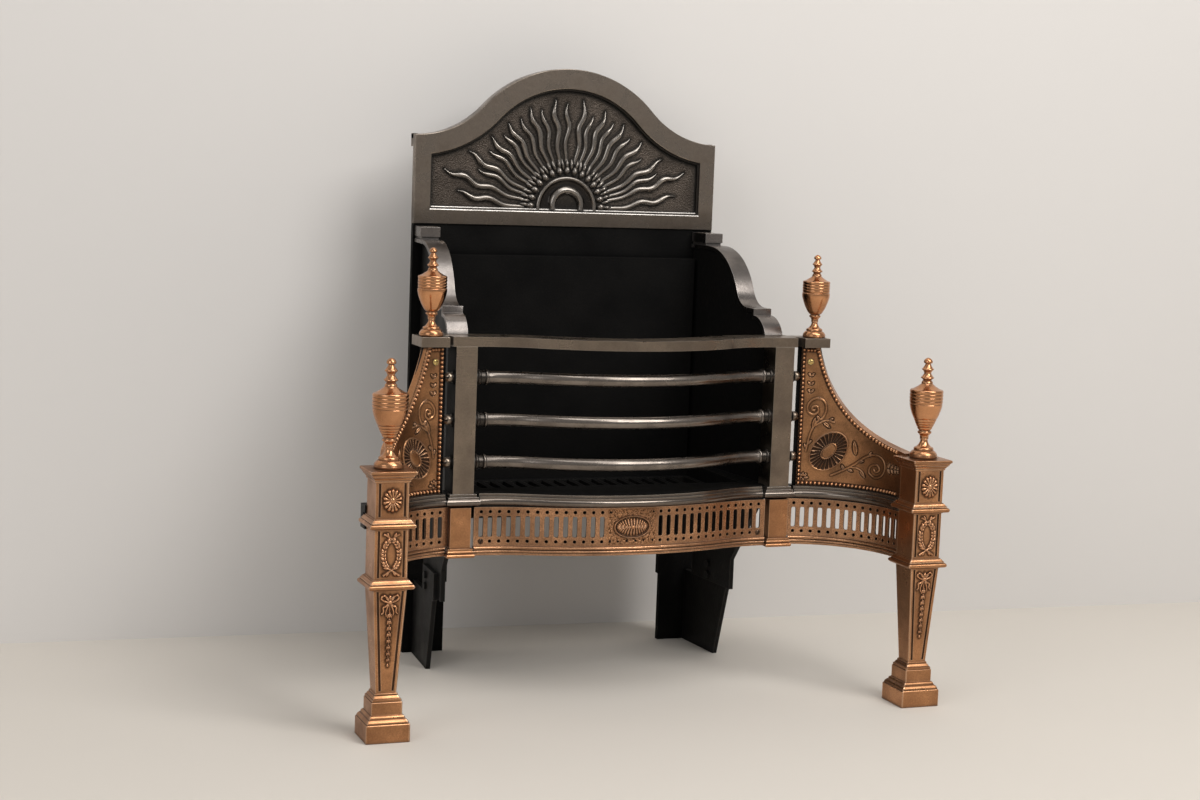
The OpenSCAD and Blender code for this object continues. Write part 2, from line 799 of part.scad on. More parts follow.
// Top rail and shelves
module top_rail()
    color(steel) {
        bow_sweep(front_y, rail_bow, [-rail_d / 2, rail_z + rail_h / 2])
            translate([-rail_d, rail_z]) square([rail_d, rail_h]);
        for (side = [0, 1])
            mirror([side, 0, 0])
                box(bow_half - 0.01, rail_end_x, front_y, rail_back_y, rail_z, rail_top_z);
    }
shelf_d = 50;
rear_finial_x = (shelf_x0 + shelf_x1) / 2 + 2;
rear_finial_y = shelf_y + rear_finial_in;
module shelf()
    color(steel)
        difference() {
            union() {
                box(shelf_x0, shelf_x1, shelf_y, shelf_y + shelf_d, rail_z, rail_top_z);
                box(rail_end_x, shelf_x0 + 1, shelf_y + shelf_d - 20, shelf_y + shelf_d,
                    rail_z, rail_top_z);
            }
            translate([rear_finial_x, rear_finial_y, rail_z + 3])
                cylinder(d = stud_d + 2 * fit, h = far);
        }

// Frets
reed_h = 8;
reed_out = 3;
slot_z = fret_z + 41.5;
dot_gap = 6;
module fret_profile() {
    translate([-fret_t, fret_z]) square([fret_t, fret_h]);
    translate([-1, fret_z]) square([reed_out + 1 - reed_h / 4, reed_h]);
    for (k = [0.25, 0.75])
        translate([reed_out - reed_h / 4, fret_z + reed_h * k]) circle(reed_h / 4);
}
module slot_cut()
    rotate([90, 0, 0])
        linear_extrude(40, center = true) {
            square([slot_w, slot_h - slot_w], center = true);
            for (s = [-1, 1]) {
                translate([0, s * (slot_h - slot_w) / 2]) circle(d = slot_w);
                translate([0, s * (slot_h / 2 + dot_gap)]) circle(d = dot_d);
            }
        }
slot_first = (patera_w + slot_pitch) / 2 + 6;
middle_pitch = (bow_half - 7 - slot_first) / (middle_slots - 1);
fret_x1 = bow_half + 2.5;
module fret_middle() {
    color(copper)
        difference() {
            union() {
                bow_sweep(fret_end_y, fret_bow, [-fret_t / 2, fret_z + fret_h / 2]) fret_profile();
                for (side = [0, 1])
                    mirror([side, 0, 0])
                        straight_sweep(fret_end_y, bow_half - 0.01, fret_x1) fret_profile();
            }
            for (side = [-1, 1])
                for (i = [0:middle_slots - 1])
                    slot_at(side * (slot_first + i * middle_pitch));
            for (x = fret_screw_xs) fret_screw_at(x) cylinder(d = screw_d, h = 30, center = true);
        }
    color(copper)
        translate([0, fret_end_y - fret_bow + 1, slot_z])
            rotate([90, 0, 0]) {
                linear_extrude(4) oval(patera_w, 28);
                linear_extrude(6) oval(patera_w / 2, 14);
            }
}
module slot_at(x)
    translate([x, bow_y(fret_end_y, fret_bow, x), slot_z])
        rotate([0, 0, bow_heading(fret_bow, x)]) slot_cut();
module fret_side() {
    color(copper)
        difference() {
            side_sweep(side_angle(pilaster_x1 + 6.3)) fret_profile();
            leg_room();
            for (i = [0:side_slots - 1])
                translate([side_cx, side_cy, 0])
                    rotate([0, 0, -(side_slot_a + i * slot_pitch / side_r * 180 / PI)])
                        translate([0, side_r, slot_z]) slot_cut();
        }
}
side_slot_a = 14.5;

// Screws of the middle fret
screw_d = 3.4;
screw_head_d = 7;
fret_screw_xs = [8 - bow_half, bow_half - 8];
fret_screw_rise = pow(screw_head_d / 2, 2) / 2 / bow_end_r(fret_bow) + 0.005;
fret_screw_z = fret_z + 13;
module fret_screw_at(x)
    translate([x, bow_y(fret_end_y, fret_bow, x), fret_screw_z])
        rotate([0, 0, bow_heading(fret_bow, x)]) rotate([90, 0, 0]) children();
module fret_screws()
    color(brass)
        for (x = fret_screw_xs)
            fret_screw_at(x) {
                translate([0, 0, fret_screw_rise]) cylinder(d = screw_head_d, h = 1.2);
                translate([0, 0, -fret_t - 3]) cylinder(d = screw_d - 2 * fit, h = fret_t + 3.5);
            }

// Pilasters
pilaster_x0 = upright_x + 2 - pilaster_w / 2;
pilaster_x1 = pilaster_x0 + pilaster_w;
pilaster_y = front_y + 2;
pilaster_base_h = 11;
module pilaster()
    color(copper) {
        box(pilaster_x0, pilaster_x1, pilaster_y, side_top_y + 8,
            fret_z + pilaster_base_h - 1, fret_top_z);
        intersection() {
            straight_sweep(pilaster_y, 0, far) pilaster_base();
            translate([0, far, 0])
                rotate([90, 0, 0])
                    linear_extrude(far) {
                        translate([pilaster_x0, fret_z - 2])
                            square([pilaster_w, pilaster_base_h + 2]);
                        translate([pilaster_x1 - 0.1, 0]) pilaster_base();
                        translate([pilaster_x0 + 0.1, 0]) mirror([1, 0]) pilaster_base();
                    }
        }
    }
module pilaster_base() {
    translate([-side_top_y - 8 + pilaster_y, fret_z - 2])
        square([side_top_y + 8 - pilaster_y + 3, pilaster_base_h + 2]);
    translate([3, fret_z + 0.8]) circle(2.8);
    translate([2, fret_z + 6]) circle(2.2);
}

// Spandrels: their outline is drawn along the bend and cut square to it at its middle
spandrel_a0 = 13.5;
spandrel_mid_a = 52;
curve_a0 = 25;
curve_steps = 18;
curve_n = 3.1;
curve_s = 2 * PI * side_r / 360;
curve_rise = (rail_z - hearth_z) * 11 / 7;
curve_end_z = leg_h + 2.5;
curve_top_z = curve_end_z + curve_rise;
curve_end_s = side_r * 1.97;
curve_run_s = side_r * 1.634;
function curve_z(a) = curve_top_z - curve_rise
    * pow(1 - pow((curve_end_s - curve_s * a) / curve_run_s, curve_n), 1 / curve_n);
function curve_slope(a) = atan2(curve_z(a + 0.2) - curve_z(a), 0.2 * curve_s);
function curve_w(a) = side_r * sin(a - spandrel_mid_a);
bend_end_w = 5 + max(curve_w(96),
    side_r * cos(spandrel_mid_a) + (side_cy - leg_back_y) * sin(spandrel_mid_a));
function curve_a(k) = curve_a0 + (96 - curve_a0) * pow(k / curve_steps, 1.5);
function curve_point(a, inset) = [
    curve_w(a + inset * sin(curve_slope(a)) / curve_s),
    curve_z(a) - inset * cos(curve_slope(a))
];
module bend_cut(a0, inset, z0, top_z)
    translate([side_cx, side_cy, 0])
        rotate([0, 0, -spandrel_mid_a])
            translate([0, 2 * side_r, 0])
                rotate([90, 0, 0])
                    linear_extrude(2 * side_r)
                        intersection() {
                            polygon(concat([[curve_w(a0), z0], [curve_w(a0), curve_top_z]],
                                [for (k = [0:curve_steps]) curve_point(curve_a(k), inset)],
                                [[bend_end_w, curve_end_z - inset], [bend_end_w, z0]]));
                            translate([-far, z0]) square([2 * far, top_z - z0]);
                        }
module spandrel()
    color(copper) {
        difference() {
            intersection() {
                side_sweep(spandrel_a0 - 4)
                    translate([-spandrel_rim, hearth_z]) square([spandrel_rim, rail_z - hearth_z]);
                bend_cut(spandrel_a0, 0, hearth_z, rail_z);
            }
            intersection() {
                side_sweep(spandrel_a0 - 6)
                    translate([-spandrel_rim - 1, hearth_z - 1])
                        square([spandrel_rim + 1 - spandrel_t, rail_z]);
                bend_cut(spandrel_a0 - 2, 3.5, hearth_z - 1, far);
            }
            spandrel_screw_at() cylinder(d = screw_d, h = 60, center = true);
            leg_room();
        }
        intersection() {
            side_sweep(spandrel_a0 - 4)
                translate([-1, hearth_z + 2.4]) square([2, pearl_d]);
            bend_cut(spandrel_a0 + 1, 1, hearth_z, rail_z);
        }
        for (p = [[33.3, 353], [65.9, 333]])
            translate([side_cx, side_cy, 0])
                rotate([0, 0, -p[0]])
                    translate([0, side_r + 1, p[1]])
                        rotate([90, 0, 0])
                            linear_extrude(4) oval(p[0] < 50 ? 34 : 20, p[0] < 50 ? 25 : 20);
    }
module spandrel_backing()
    color(iron)
        difference() {
            union() {
                intersection() {
                    side_sweep(spandrel_a0 - 5)
                        translate([-spandrel_t - 1 - backing_t, hearth_z])
                            square([backing_t, rail_z - hearth_z]);
                    bend_cut(spandrel_a0 - 1, 4.5, hearth_z, rail_z);
                }
                box(side_cx + side_r + spandrel_t + 1, ear_x, leg_back_y, leg_back_y + ear_d,
                    hearth_z, hearth_z + 12);
            }
            spandrel_screw_at() cylinder(d = screw_d, h = 60, center = true);
            leg_room();
        }
spandrel_screw_a = 19.3;
spandrel_screw_z = rail_z - 22;
spandrel_head_d = 9;
spandrel_screw_rise = pow(spandrel_head_d / 2, 2) / 2 / side_r + 0.005;
module spandrel_screw_at()
    translate([side_cx, side_cy, 0])
        rotate([0, 0, -spandrel_screw_a])
            translate([0, side_r, spandrel_screw_z]) rotate([90, 0, 0]) children();
module spandrel_screws()
    color(brass)
        for (side = [0, 1])
            mirror([side, 0, 0])
                spandrel_screw_at() {
                    translate([0, 0, spandrel_screw_rise]) cylinder(d = spandrel_head_d, h = 1.6);
                    translate([0, 0, -spandrel_t - 1 - backing_t - 2])
                        cylinder(d = screw_d - 2 * fit, h = spandrel_t + 3 + backing_t + 0.5);
                }

// Front legs: one outline, seen from the front, cut across itself from the side
cove_r = 7;
module leg_outline() {
    taper_w = leg_block_w;
    foot_top_w = leg_ankle_w + 10.4;
    across(foot_w, 0, z_foot_slope);
    slope_side(foot_w - 0.6, foot_band_w + 3.2, z_foot_slope - 0.1, z_foot_band);
    across(foot_band_w, z_foot_band - 1, z_foot_ogee);
    across(foot_top_w, z_foot_ogee - 1, z_foot_ogee + 3);
    difference() {
        across(foot_top_w - 4, z_foot_ogee, z_foot_ogee + 7);
        for (s = [-1, 1])
            translate([s * (foot_top_w / 2), z_foot_ogee + 7]) circle(4);
    }
    across(leg_ankle_w + 3.6, z_foot_ogee + 6.5, z_foot_ogee + 9);
    across(leg_ankle_w, z_foot_ogee, z_taper + 1);
    slope_side(leg_ankle_w, taper_w, z_taper, z_belt_low);
    belt(z_belt_low);
    across(leg_block_w, z_wreath - 1, z_belt_high + 1);
    belt(z_belt_high);
    across(leg_block_w, z_rosette - 1, z_cap);
    difference() {
        across(leg_lip_w, z_cap, leg_h - 2.5);
        for (s = [-1, 1])
            translate([s * leg_lip_w / 2, z_cap + cove_r - 2]) circle(cove_r);
    }
    across(leg_block_w + 3, z_cap, z_cap + 4.5);
    across(leg_lip_w, leg_h - 2.6, leg_h);
}
module across(w, z0, z1) translate([-w / 2, z0]) square([w, z1 - z0]);
module slope_side(w0, w1, z0, z1)
    polygon([[-w0 / 2, z0], [w0 / 2, z0], [w1 / 2, z1], [-w1 / 2, z1]]);
module belt(z) {
    r = belt_h * 0.24;
    across(leg_block_w, z - 0.1, z + belt_h + 0.1);
    across(leg_lip_w - 2 * r, z + belt_h / 2 - r, z + belt_h / 2 + r);
    for (s = [-1, 1])
        translate([s * (leg_lip_w / 2 - r), z + belt_h / 2]) circle(r);
    across(leg_block_w + 5.5, z + belt_h - 3.5, z + belt_h);
    across(leg_block_w + 3.5, z + 1.2, z + belt_h - 3);
}
patera_z = z_rosette + rosette_block_h / 2;
wreath_z = z_wreath + wreath_block_h / 2;
sunk_d = 1.5;
module leg()
    color(copper)
        difference() {
            intersection() {
                translate([leg_x, far / 2, 0]) rotate([90, 0, 0]) linear_extrude(far) leg_outline();
                translate([leg_x - far / 2, 0, 0]) rotate([90, 0, 90]) linear_extrude(far) leg_outline();
            }
            panel_grooves(leg_block_w, leg_block_w, z_rosette + 1, z_cap - 1);
            panel_grooves(leg_block_w, leg_block_w, z_wreath + 1, z_belt_high - 1);
            panel_grooves(leg_ankle_w, leg_block_w, z_taper + 2, z_belt_low - 1);
            translate([leg_x, -leg_block_w / 2 + sunk_d, patera_z])
                rotate([90, 0, 0]) linear_extrude(9) oval(29, 34);
            translate([leg_x, 0, leg_h - 18]) cylinder(d = stud_d + 2 * fit, h = 40);
            leg_bolt_holes(bolt_d + 2 * fit);
        }
module panel_grooves(w0, w1, z0, z1)
    for (s = [-1, 1])
        intersection() {
            translate([leg_x, 0, 0])
                rotate([90, 0, 0])
                    linear_extrude(far)
                        polygon([[s * (w0 / 2 - groove_inset), z0],
                            [s * (w0 / 2 - groove_inset - groove_w), z0],
                            [s * (w1 / 2 - groove_inset - groove_w), z1],
                            [s * (w1 / 2 - groove_inset), z1]]);
            rotate([90, 0, 90])
                linear_extrude(far)
                    polygon([[-far, z0], [groove_d - w0 / 2, z0], [groove_d - w1 / 2, z1], [-far, z1]]);
        }

// Ornaments laid on the front of a leg
bow_z = z_belt_low - 14.5;
chain_count = 6;
chain_pitch = 11;
taper_a = atan((leg_block_w - leg_ankle_w) / 2 / taper_h);
module on_leg(z, sunk = 0) translate([leg_x, sunk - leg_block_w / 2, z]) rotate([90, 0, 0]) children();
module leg_mounts()
    color(copper) {
        on_leg(patera_z, sunk_d) {
            linear_extrude(2.4) oval(26.5, 31);
            linear_extrude(3.6) oval(9, 11);
        }
        on_leg(wreath_z)
            linear_extrude(3)
                difference() {
                    oval(26, 53);
                    oval(17, 44);
                }
        translate([leg_x, -leg_block_w / 2, z_belt_low])
            rotate([taper_a, 0, 0])
                translate([0, 0, -z_belt_low])
                    rotate([90, 0, 0]) {
                        translate([0, bow_z]) linear_extrude(3.4) circle(3.4);
                        for (s = [-1, 1])
                            translate([s * 7.4, bow_z + 2]) rotate(s * 20) linear_extrude(2.4) oval(11.5, 6);
                        translate([-1.2, bow_z - 8 - chain_count * chain_pitch])
                            linear_extrude(1.2) square([2.4, chain_count * chain_pitch + 8]);
                        for (i = [0:chain_count - 1])
                            translate([0, bow_z - 12 - i * chain_pitch])
                                linear_extrude(2.6) oval(6.4 - 0.5 * i, 9.4);
                    }
    }

// Bolts through the ears of the hearth plate into the legs
leg_bolt_z = hearth_z - 8;
leg_bolt_x = leg_x + 6;
module leg_bolt_holes(d)
    translate([leg_bolt_x, 6, leg_bolt_z]) rotate([-90, 0, 0]) cylinder(d = d, h = 60);
module leg_bolts()
    color(iron)
        for (side = [0, 1])
            mirror([side, 0, 0])
                translate([leg_bolt_x, 7, leg_bolt_z])
                    rotate([-90, 0, 0]) {
                        cylinder(d = bolt_d, h = leg_back_y + ear_d - 6);
                        translate([0, 0, leg_back_y + ear_d - 7])
                            cylinder(d = bolt_head_d, h = bolt_head_h);
                    }

// Urn finials, drawn at the height of the front ones and scaled down for the rear ones
urn_h = 144.4;
stem_r = 5.4;
stem_cove_r = 12.4;
module urn_outline() {
    square([19.4, 4]);
    translate([16.8, 7.6]) circle(3.6);
    translate([0, 4]) square([16.8, 7.2]);
    translate([0, 11]) square([15, 2.2]);
    translate([0, 13]) square([13.4, 2.6]);
    difference() {
        translate([0, 15]) square([12, 19.5]);
        translate([stem_r + stem_cove_r, 28]) circle(stem_cove_r);
    }
    translate([0, 34]) square([4.5, 6]);
    translate([4.5, 37]) circle(3);
    polygon([[0, 39], [6, 39], [6, 42], [10, 42], [14, 46.5], [16.2, 51], [18.4, 58.5], [21, 68],
        [22.6, 78], [23.3, 86], [23.6, 98], [20.5, 99.5], [15.5, 102.5], [10.5, 106.5], [7.2, 111],
        [6, 114], [6, 120], [4.8, 122], [4.8, 125], [3.8, 132], [3.6, 136], [0, 136]]);
    translate([0, 113.5]) square([6.1, 6]);
    translate([6.1, 116.5]) circle(3);
    translate([0, 125.6]) square([5.6, 5]);
    translate([5.6, 128.1]) circle(2.6);
    translate([0, 135.5]) square([3, 6]);
    translate([3, 138.6]) circle(2.4);
    intersection() {
        translate([0, urn_h - 5.4]) circle(5.4);
        translate([0, 137]) square([6, 10]);
    }
}
module urn(h)
    color(copper)
        difference() {
            scale(h / urn_h) rotate_extrude() intersection() {
                urn_outline();
                square(urn_h);
            }
            translate([0, 0, -1]) cylinder(d = stud_d + 2 * fit, h = 17 + 1);
        }
module finial_front() translate([leg_x, 0, leg_h]) urn(front_finial_h);
module finial_rear() translate([rear_finial_x, rear_finial_y, rail_top_z]) urn(rear_finial_h);
module finial_studs()
    color(iron)
        for (side = [0, 1])
            mirror([side, 0, 0]) {
                translate([leg_x, 0, leg_h - 17.5]) cylinder(d = stud_d, h = 34);
                translate([rear_finial_x, rear_finial_y, rail_z + 3.5]) cylinder(d = stud_d, h = 27);
            }

place() back_panel();
place() sunburst();
place() fire_back();
place() back_bolts();
place() fire_slab();
place() other_side() hind_foot();  // hind_foot_left
place() hind_foot();  // hind_foot_right
place() other_side() cheek();  // cheek_left
place() cheek();  // cheek_right
place() other_side() cheek_rim();  // cheek_rim_left
place() cheek_rim();  // cheek_rim_right
place() lug_bolts();
place() hearth_plate();
place() bottom_grate();
place() ledge_middle();
place() other_side() ledge_side();  // ledge_left
place() ledge_side();  // ledge_right
place() other_side() ledge_block();  // ledge_block_left
place() ledge_block();  // ledge_block_right
place() other_side() upright();  // upright_left
place() upright();  // upright_right
place() bar(2);  // bar_upper
place() bar(1);  // bar_middle
place() bar(0);  // bar_lower
place() top_rail();
place() other_side() shelf();  // shelf_left
place() shelf();  // shelf_right
place() fret_middle();
place() other_side() fret_side();  // fret_left
place() fret_side();  // fret_right
place() other_side() pilaster();  // pilaster_left
place() pilaster();  // pilaster_right
place() fret_screws();
place() other_side() spandrel();  // spandrel_left
place() spandrel();  // spandrel_right
place() other_side() spandrel_backing();  // spandrel_backing_left
place() spandrel_backing();  // spandrel_backing_right
place() spandrel_screws();
place() other_side() leg();  // leg_left
place() leg();  // leg_right
place() other_side() leg_mounts();  // leg_mounts_left
place() leg_mounts();  // leg_mounts_right
place() leg_bolts();
place() other_side() finial_front();  // finial_front_left
place() finial_front();  // finial_front_right
place() other_side() finial_rear();  // finial_rear_left
place() finial_rear();  // finial_rear_right
place() finial_studs();
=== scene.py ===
"""A serpentine fire basket of steel, black iron and copper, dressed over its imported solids.

Shapes are worked out in millimetres, with y counted from the axes of the front legs, and are then
moved into the row frame, which is in metres with its origin under the middle of the whole.
"""

from math import atan, atan2, cos, degrees, pi, radians, sin

import bmesh
import bpy
import numpy as np
from mathutils import Matrix, Vector


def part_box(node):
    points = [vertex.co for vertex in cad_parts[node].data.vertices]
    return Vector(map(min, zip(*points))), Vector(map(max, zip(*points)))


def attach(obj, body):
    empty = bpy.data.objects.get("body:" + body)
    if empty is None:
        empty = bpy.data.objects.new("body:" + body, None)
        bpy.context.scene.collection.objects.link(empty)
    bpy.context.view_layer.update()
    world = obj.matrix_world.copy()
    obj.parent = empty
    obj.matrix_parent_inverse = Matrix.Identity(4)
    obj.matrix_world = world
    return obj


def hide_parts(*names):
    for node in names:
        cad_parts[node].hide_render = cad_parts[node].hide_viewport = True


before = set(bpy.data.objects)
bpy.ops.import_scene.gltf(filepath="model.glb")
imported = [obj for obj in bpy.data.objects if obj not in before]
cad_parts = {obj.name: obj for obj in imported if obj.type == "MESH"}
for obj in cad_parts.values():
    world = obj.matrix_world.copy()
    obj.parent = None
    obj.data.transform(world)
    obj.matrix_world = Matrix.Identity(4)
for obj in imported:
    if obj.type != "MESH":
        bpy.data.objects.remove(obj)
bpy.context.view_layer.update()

# Depth from the front legs to the middle of the whole, and the body that every piece rides on
MID_Y, BODY = 220.5, "basket"
# Degrees between two faces from which an edge of the square work counts as sharp
SHARP = 35


# --- camera, light and stage -------------------------------------------------------------------

def camera():
    """Camera at the photograph's place, in metres: yaw, pitch and roll turn the view from +Y."""
    place = (-1.11708, -2.84498, 0.78244)
    yaw, pitch, roll = (radians(a) for a in (21.07, -6.70, 2.12))
    ahead = Vector((sin(yaw) * cos(pitch), cos(yaw) * cos(pitch), sin(pitch)))
    right = Vector((cos(yaw), -sin(yaw), 0))
    up = right.cross(ahead)
    right, up = (cos(roll) * right + sin(roll) * up,
                 cos(roll) * up - sin(roll) * right)
    data = bpy.data.cameras.new("view")
    data.lens, data.sensor_width = 62.41, 36
    eye = bpy.data.objects.new("view", data)
    eye.matrix_world = Matrix([(*row, at) for *row, at in zip(right, up, -ahead, place)]
                              + [(0, 0, 0, 1)])
    bpy.context.scene.collection.objects.link(eye)
    bpy.context.scene.camera = eye


def lamp(name, place, target, size, power, colour=(1, 1, 1)):
    """A soft square lamp at a place, turned to a target."""
    data = bpy.data.lights.new(name, "AREA")
    data.shape, data.size, data.energy, data.color = "SQUARE", size, power, colour
    light = bpy.data.objects.new(name, data)
    light.location = place
    light.rotation_euler = (Vector(target) - Vector(place)).to_track_quat("-Z", "Y").to_euler()
    bpy.context.scene.collection.objects.link(light)


def stage_material(name, colour):
    """Plain pale matt surface, clear from its back so that it hides nothing from behind."""
    material = bpy.data.materials.new(name)
    material.use_nodes = True
    nodes, link = material.node_tree.nodes, material.node_tree.links.new
    shader = nodes["Principled BSDF"]
    shader.inputs["Base Color"].default_value = (*colour, 1)
    shader.inputs["Roughness"].default_value = 0.9
    sides, clear, mix = (nodes.new("ShaderNode" + kind)
                         for kind in ("NewGeometry", "BsdfTransparent", "MixShader"))
    link(sides.outputs["Backfacing"], mix.inputs[0])
    link(shader.outputs[0], mix.inputs[1])
    link(clear.outputs[0], mix.inputs[2])
    link(mix.outputs[0], nodes["Material Output"].inputs["Surface"])
    return material


def stage():
    """Pale floor, and a pale wall close behind, a little out of square with the basket."""
    reach = 6
    left, right = ((x, 0.3695 - 0.0563 * x) for x in (-reach, reach))
    floor = [(-reach, -reach, 0), (reach, -reach, 0), (*right, 0), (*left, 0)]
    wall = [(*left, 0), (*right, 0), (*right, reach), (*left, reach)]
    for name, points, colour in (("floor", floor, (0.66, 0.615, 0.555)),
                                 ("wall", wall, (0.70, 0.676, 0.652))):
        mesh = bpy.data.meshes.new(name)
        mesh.from_pydata(points, [], [(0, 1, 2, 3)])
        plane = bpy.data.objects.new(name, mesh)
        bpy.context.scene.collection.objects.link(plane)
        mesh.materials.append(stage_material(name, colour))
    world = bpy.data.worlds.new("room")
    world.use_nodes = True
    world.node_tree.nodes["Background"].inputs["Color"].default_value = (0.88, 0.87, 0.86, 1)
    world.node_tree.nodes["Background"].inputs["Strength"].default_value = 0.42
    bpy.context.scene.world = world
    lamp("key", (1.3, -2.6, 2.9), (0, 0, 0.4), 1.9, 78, (1, 0.985, 0.965))
    lamp("fill", (-3.0, -2.2, 2.0), (0, 0, 0.4), 2.0, 26, (0.98, 0.985, 1))
    lamp("top", (0.2, -0.9, 3.2), (0, 0, 0.4), 1.6, 22)


bpy.context.scene.view_settings.view_transform = "Standard"
camera()
stage()


# --- shader groups -----------------------------------------------------------------------------

def new_group(name, inputs, outputs):
    """An empty shader group with float, colour or vector sockets."""
    group = bpy.data.node_groups.new(name, "ShaderNodeTree")
    for socket, kind, value in inputs:
        made = group.interface.new_socket(socket, in_out="INPUT", socket_type="NodeSocket" + kind)
        if value is not None:
            made.default_value = value
    for socket, kind in outputs:
        group.interface.new_socket(socket, in_out="OUTPUT", socket_type="NodeSocket" + kind)
    given, out = (group.nodes.new("NodeGroup" + end) for end in ("Input", "Output"))
    return group, given.outputs, out.inputs


def ramp(nodes, links, value, low, high, to_low=0.0, to_high=1.0):
    """Straight line from (low, to_low) to (high, to_high), held flat outside."""
    node = nodes.new("ShaderNodeMapRange")
    node.inputs["From Min"].default_value, node.inputs["From Max"].default_value = low, high
    node.inputs["To Min"].default_value, node.inputs["To Max"].default_value = to_low, to_high
    links.new(value, node.inputs["Value"])
    return node.outputs["Result"]


def worked(nodes, links, operation, *values):
    """Result of a math node; a number is set on its socket, and an output is linked to it."""
    node = nodes.new("ShaderNodeMath")
    node.operation = operation
    for socket, value in zip(node.inputs, values):
        if isinstance(value, float):
            socket.default_value = value
        else:
            links.new(value, socket)
    return node.outputs[0]


def wear_and_shade_group():
    """Recess: how shut in a point is; Edge: how near a corner; slow Patches, fine Specks."""
    group, given, out = new_group("wear_and_shade",
                                  (("Recess reach", "Float", 0.012), ("Edge reach", "Float", 0.002),
                                   ("Patch scale", "Float", 14.0)),
                                  (("Recess", "Float"), ("Edge", "Float"), ("Patches", "Float"),
                                   ("Specks", "Float")))
    nodes, links = group.nodes, group.links
    # Recess: painted shade in hollows and inner corners, with dirt there
    shut = nodes.new("ShaderNodeAmbientOcclusion")
    shut.samples = 6
    links.new(given["Recess reach"], shut.inputs["Distance"])
    links.new(ramp(nodes, links, shut.outputs["AO"], 0.95, 0.36), out["Recess"])
    # Edge: rubbed wear on corners, which also paints highlights along them
    corner = nodes.new("ShaderNodeAmbientOcclusion")
    corner.samples, corner.inside, corner.only_local = 6, True, True
    links.new(given["Edge reach"], corner.inputs["Distance"])
    links.new(ramp(nodes, links, corner.outputs["AO"], 0.98, 0.55), out["Edge"])
    place = nodes.new("ShaderNodeTexCoord").outputs["Object"]
    for socket, factor, detail, low, high in (("Patches", 1.0, 5.0, 0.35, 0.68),
                                              ("Specks", 22.0, 3.0, 0.3, 0.75)):
        scale = worked(nodes, links, "MULTIPLY", given["Patch scale"], factor)
        blotch = nodes.new("ShaderNodeTexNoise")
        blotch.inputs["Detail"].default_value = detail
        links.new(place, blotch.inputs["Vector"])
        links.new(scale, blotch.inputs["Scale"])
        links.new(ramp(nodes, links, blotch.outputs["Fac"], low, high), out[socket])
    return group


def grain_group():
    """Height of fine scratches along one axis, over a slower unevenness of the casting."""
    group, given, out = new_group("grain", (("Stretch", "Vector", (900.0, 900.0, 60.0)),
                                            ("Lumps", "Float", 90.0), ("Lump share", "Float", 0.5)),
                                  (("Height", "Float"), ("Scratches", "Float")))
    nodes, links = group.nodes, group.links
    place = nodes.new("ShaderNodeTexCoord").outputs["Object"]
    drawn = nodes.new("ShaderNodeVectorMath")
    drawn.operation = "MULTIPLY"
    links.new(place, drawn.inputs[0])
    links.new(given["Stretch"], drawn.inputs[1])
    scratch = nodes.new("ShaderNodeTexNoise")
    scratch.inputs["Scale"].default_value, scratch.inputs["Detail"].default_value = 1.0, 3.0
    links.new(drawn.outputs[0], scratch.inputs["Vector"])
    lump = nodes.new("ShaderNodeTexNoise")
    lump.inputs["Detail"].default_value = 4.0
    links.new(place, lump.inputs["Vector"])
    links.new(given["Lumps"], lump.inputs["Scale"])
    both = nodes.new("ShaderNodeMix")
    links.new(given["Lump share"], both.inputs["Factor"])
    links.new(scratch.outputs["Fac"], both.inputs["A"])
    links.new(lump.outputs["Fac"], both.inputs["B"])
    links.new(both.outputs["Result"], out["Height"])
    links.new(scratch.outputs["Fac"], out["Scratches"])
    return group


WEAR_AND_SHADE, GRAIN = wear_and_shade_group(), grain_group()


def placed(nodes, group, **values):
    """The group in a material, with its inputs set; a word's underscores stand for spaces."""
    node = nodes.new("ShaderNodeGroup")
    node.node_tree = group
    for key, value in values.items():
        node.inputs[key.replace("_", " ")].default_value = value
    return node.outputs


def laid_over(nodes, links, under, over, amount, share):
    """Colour over a colour by a mask times a share."""
    mix = nodes.new("ShaderNodeMix")
    mix.data_type = "RGBA"
    for value, socket in ((under, mix.inputs[6]), (over, mix.inputs[7])):
        if isinstance(value, tuple):
            socket.default_value = (*value, 1)
        else:
            links.new(value, socket)
    links.new(ramp(nodes, links, amount, 0, 1, 0, share), mix.inputs[0])
    return mix.outputs[2]


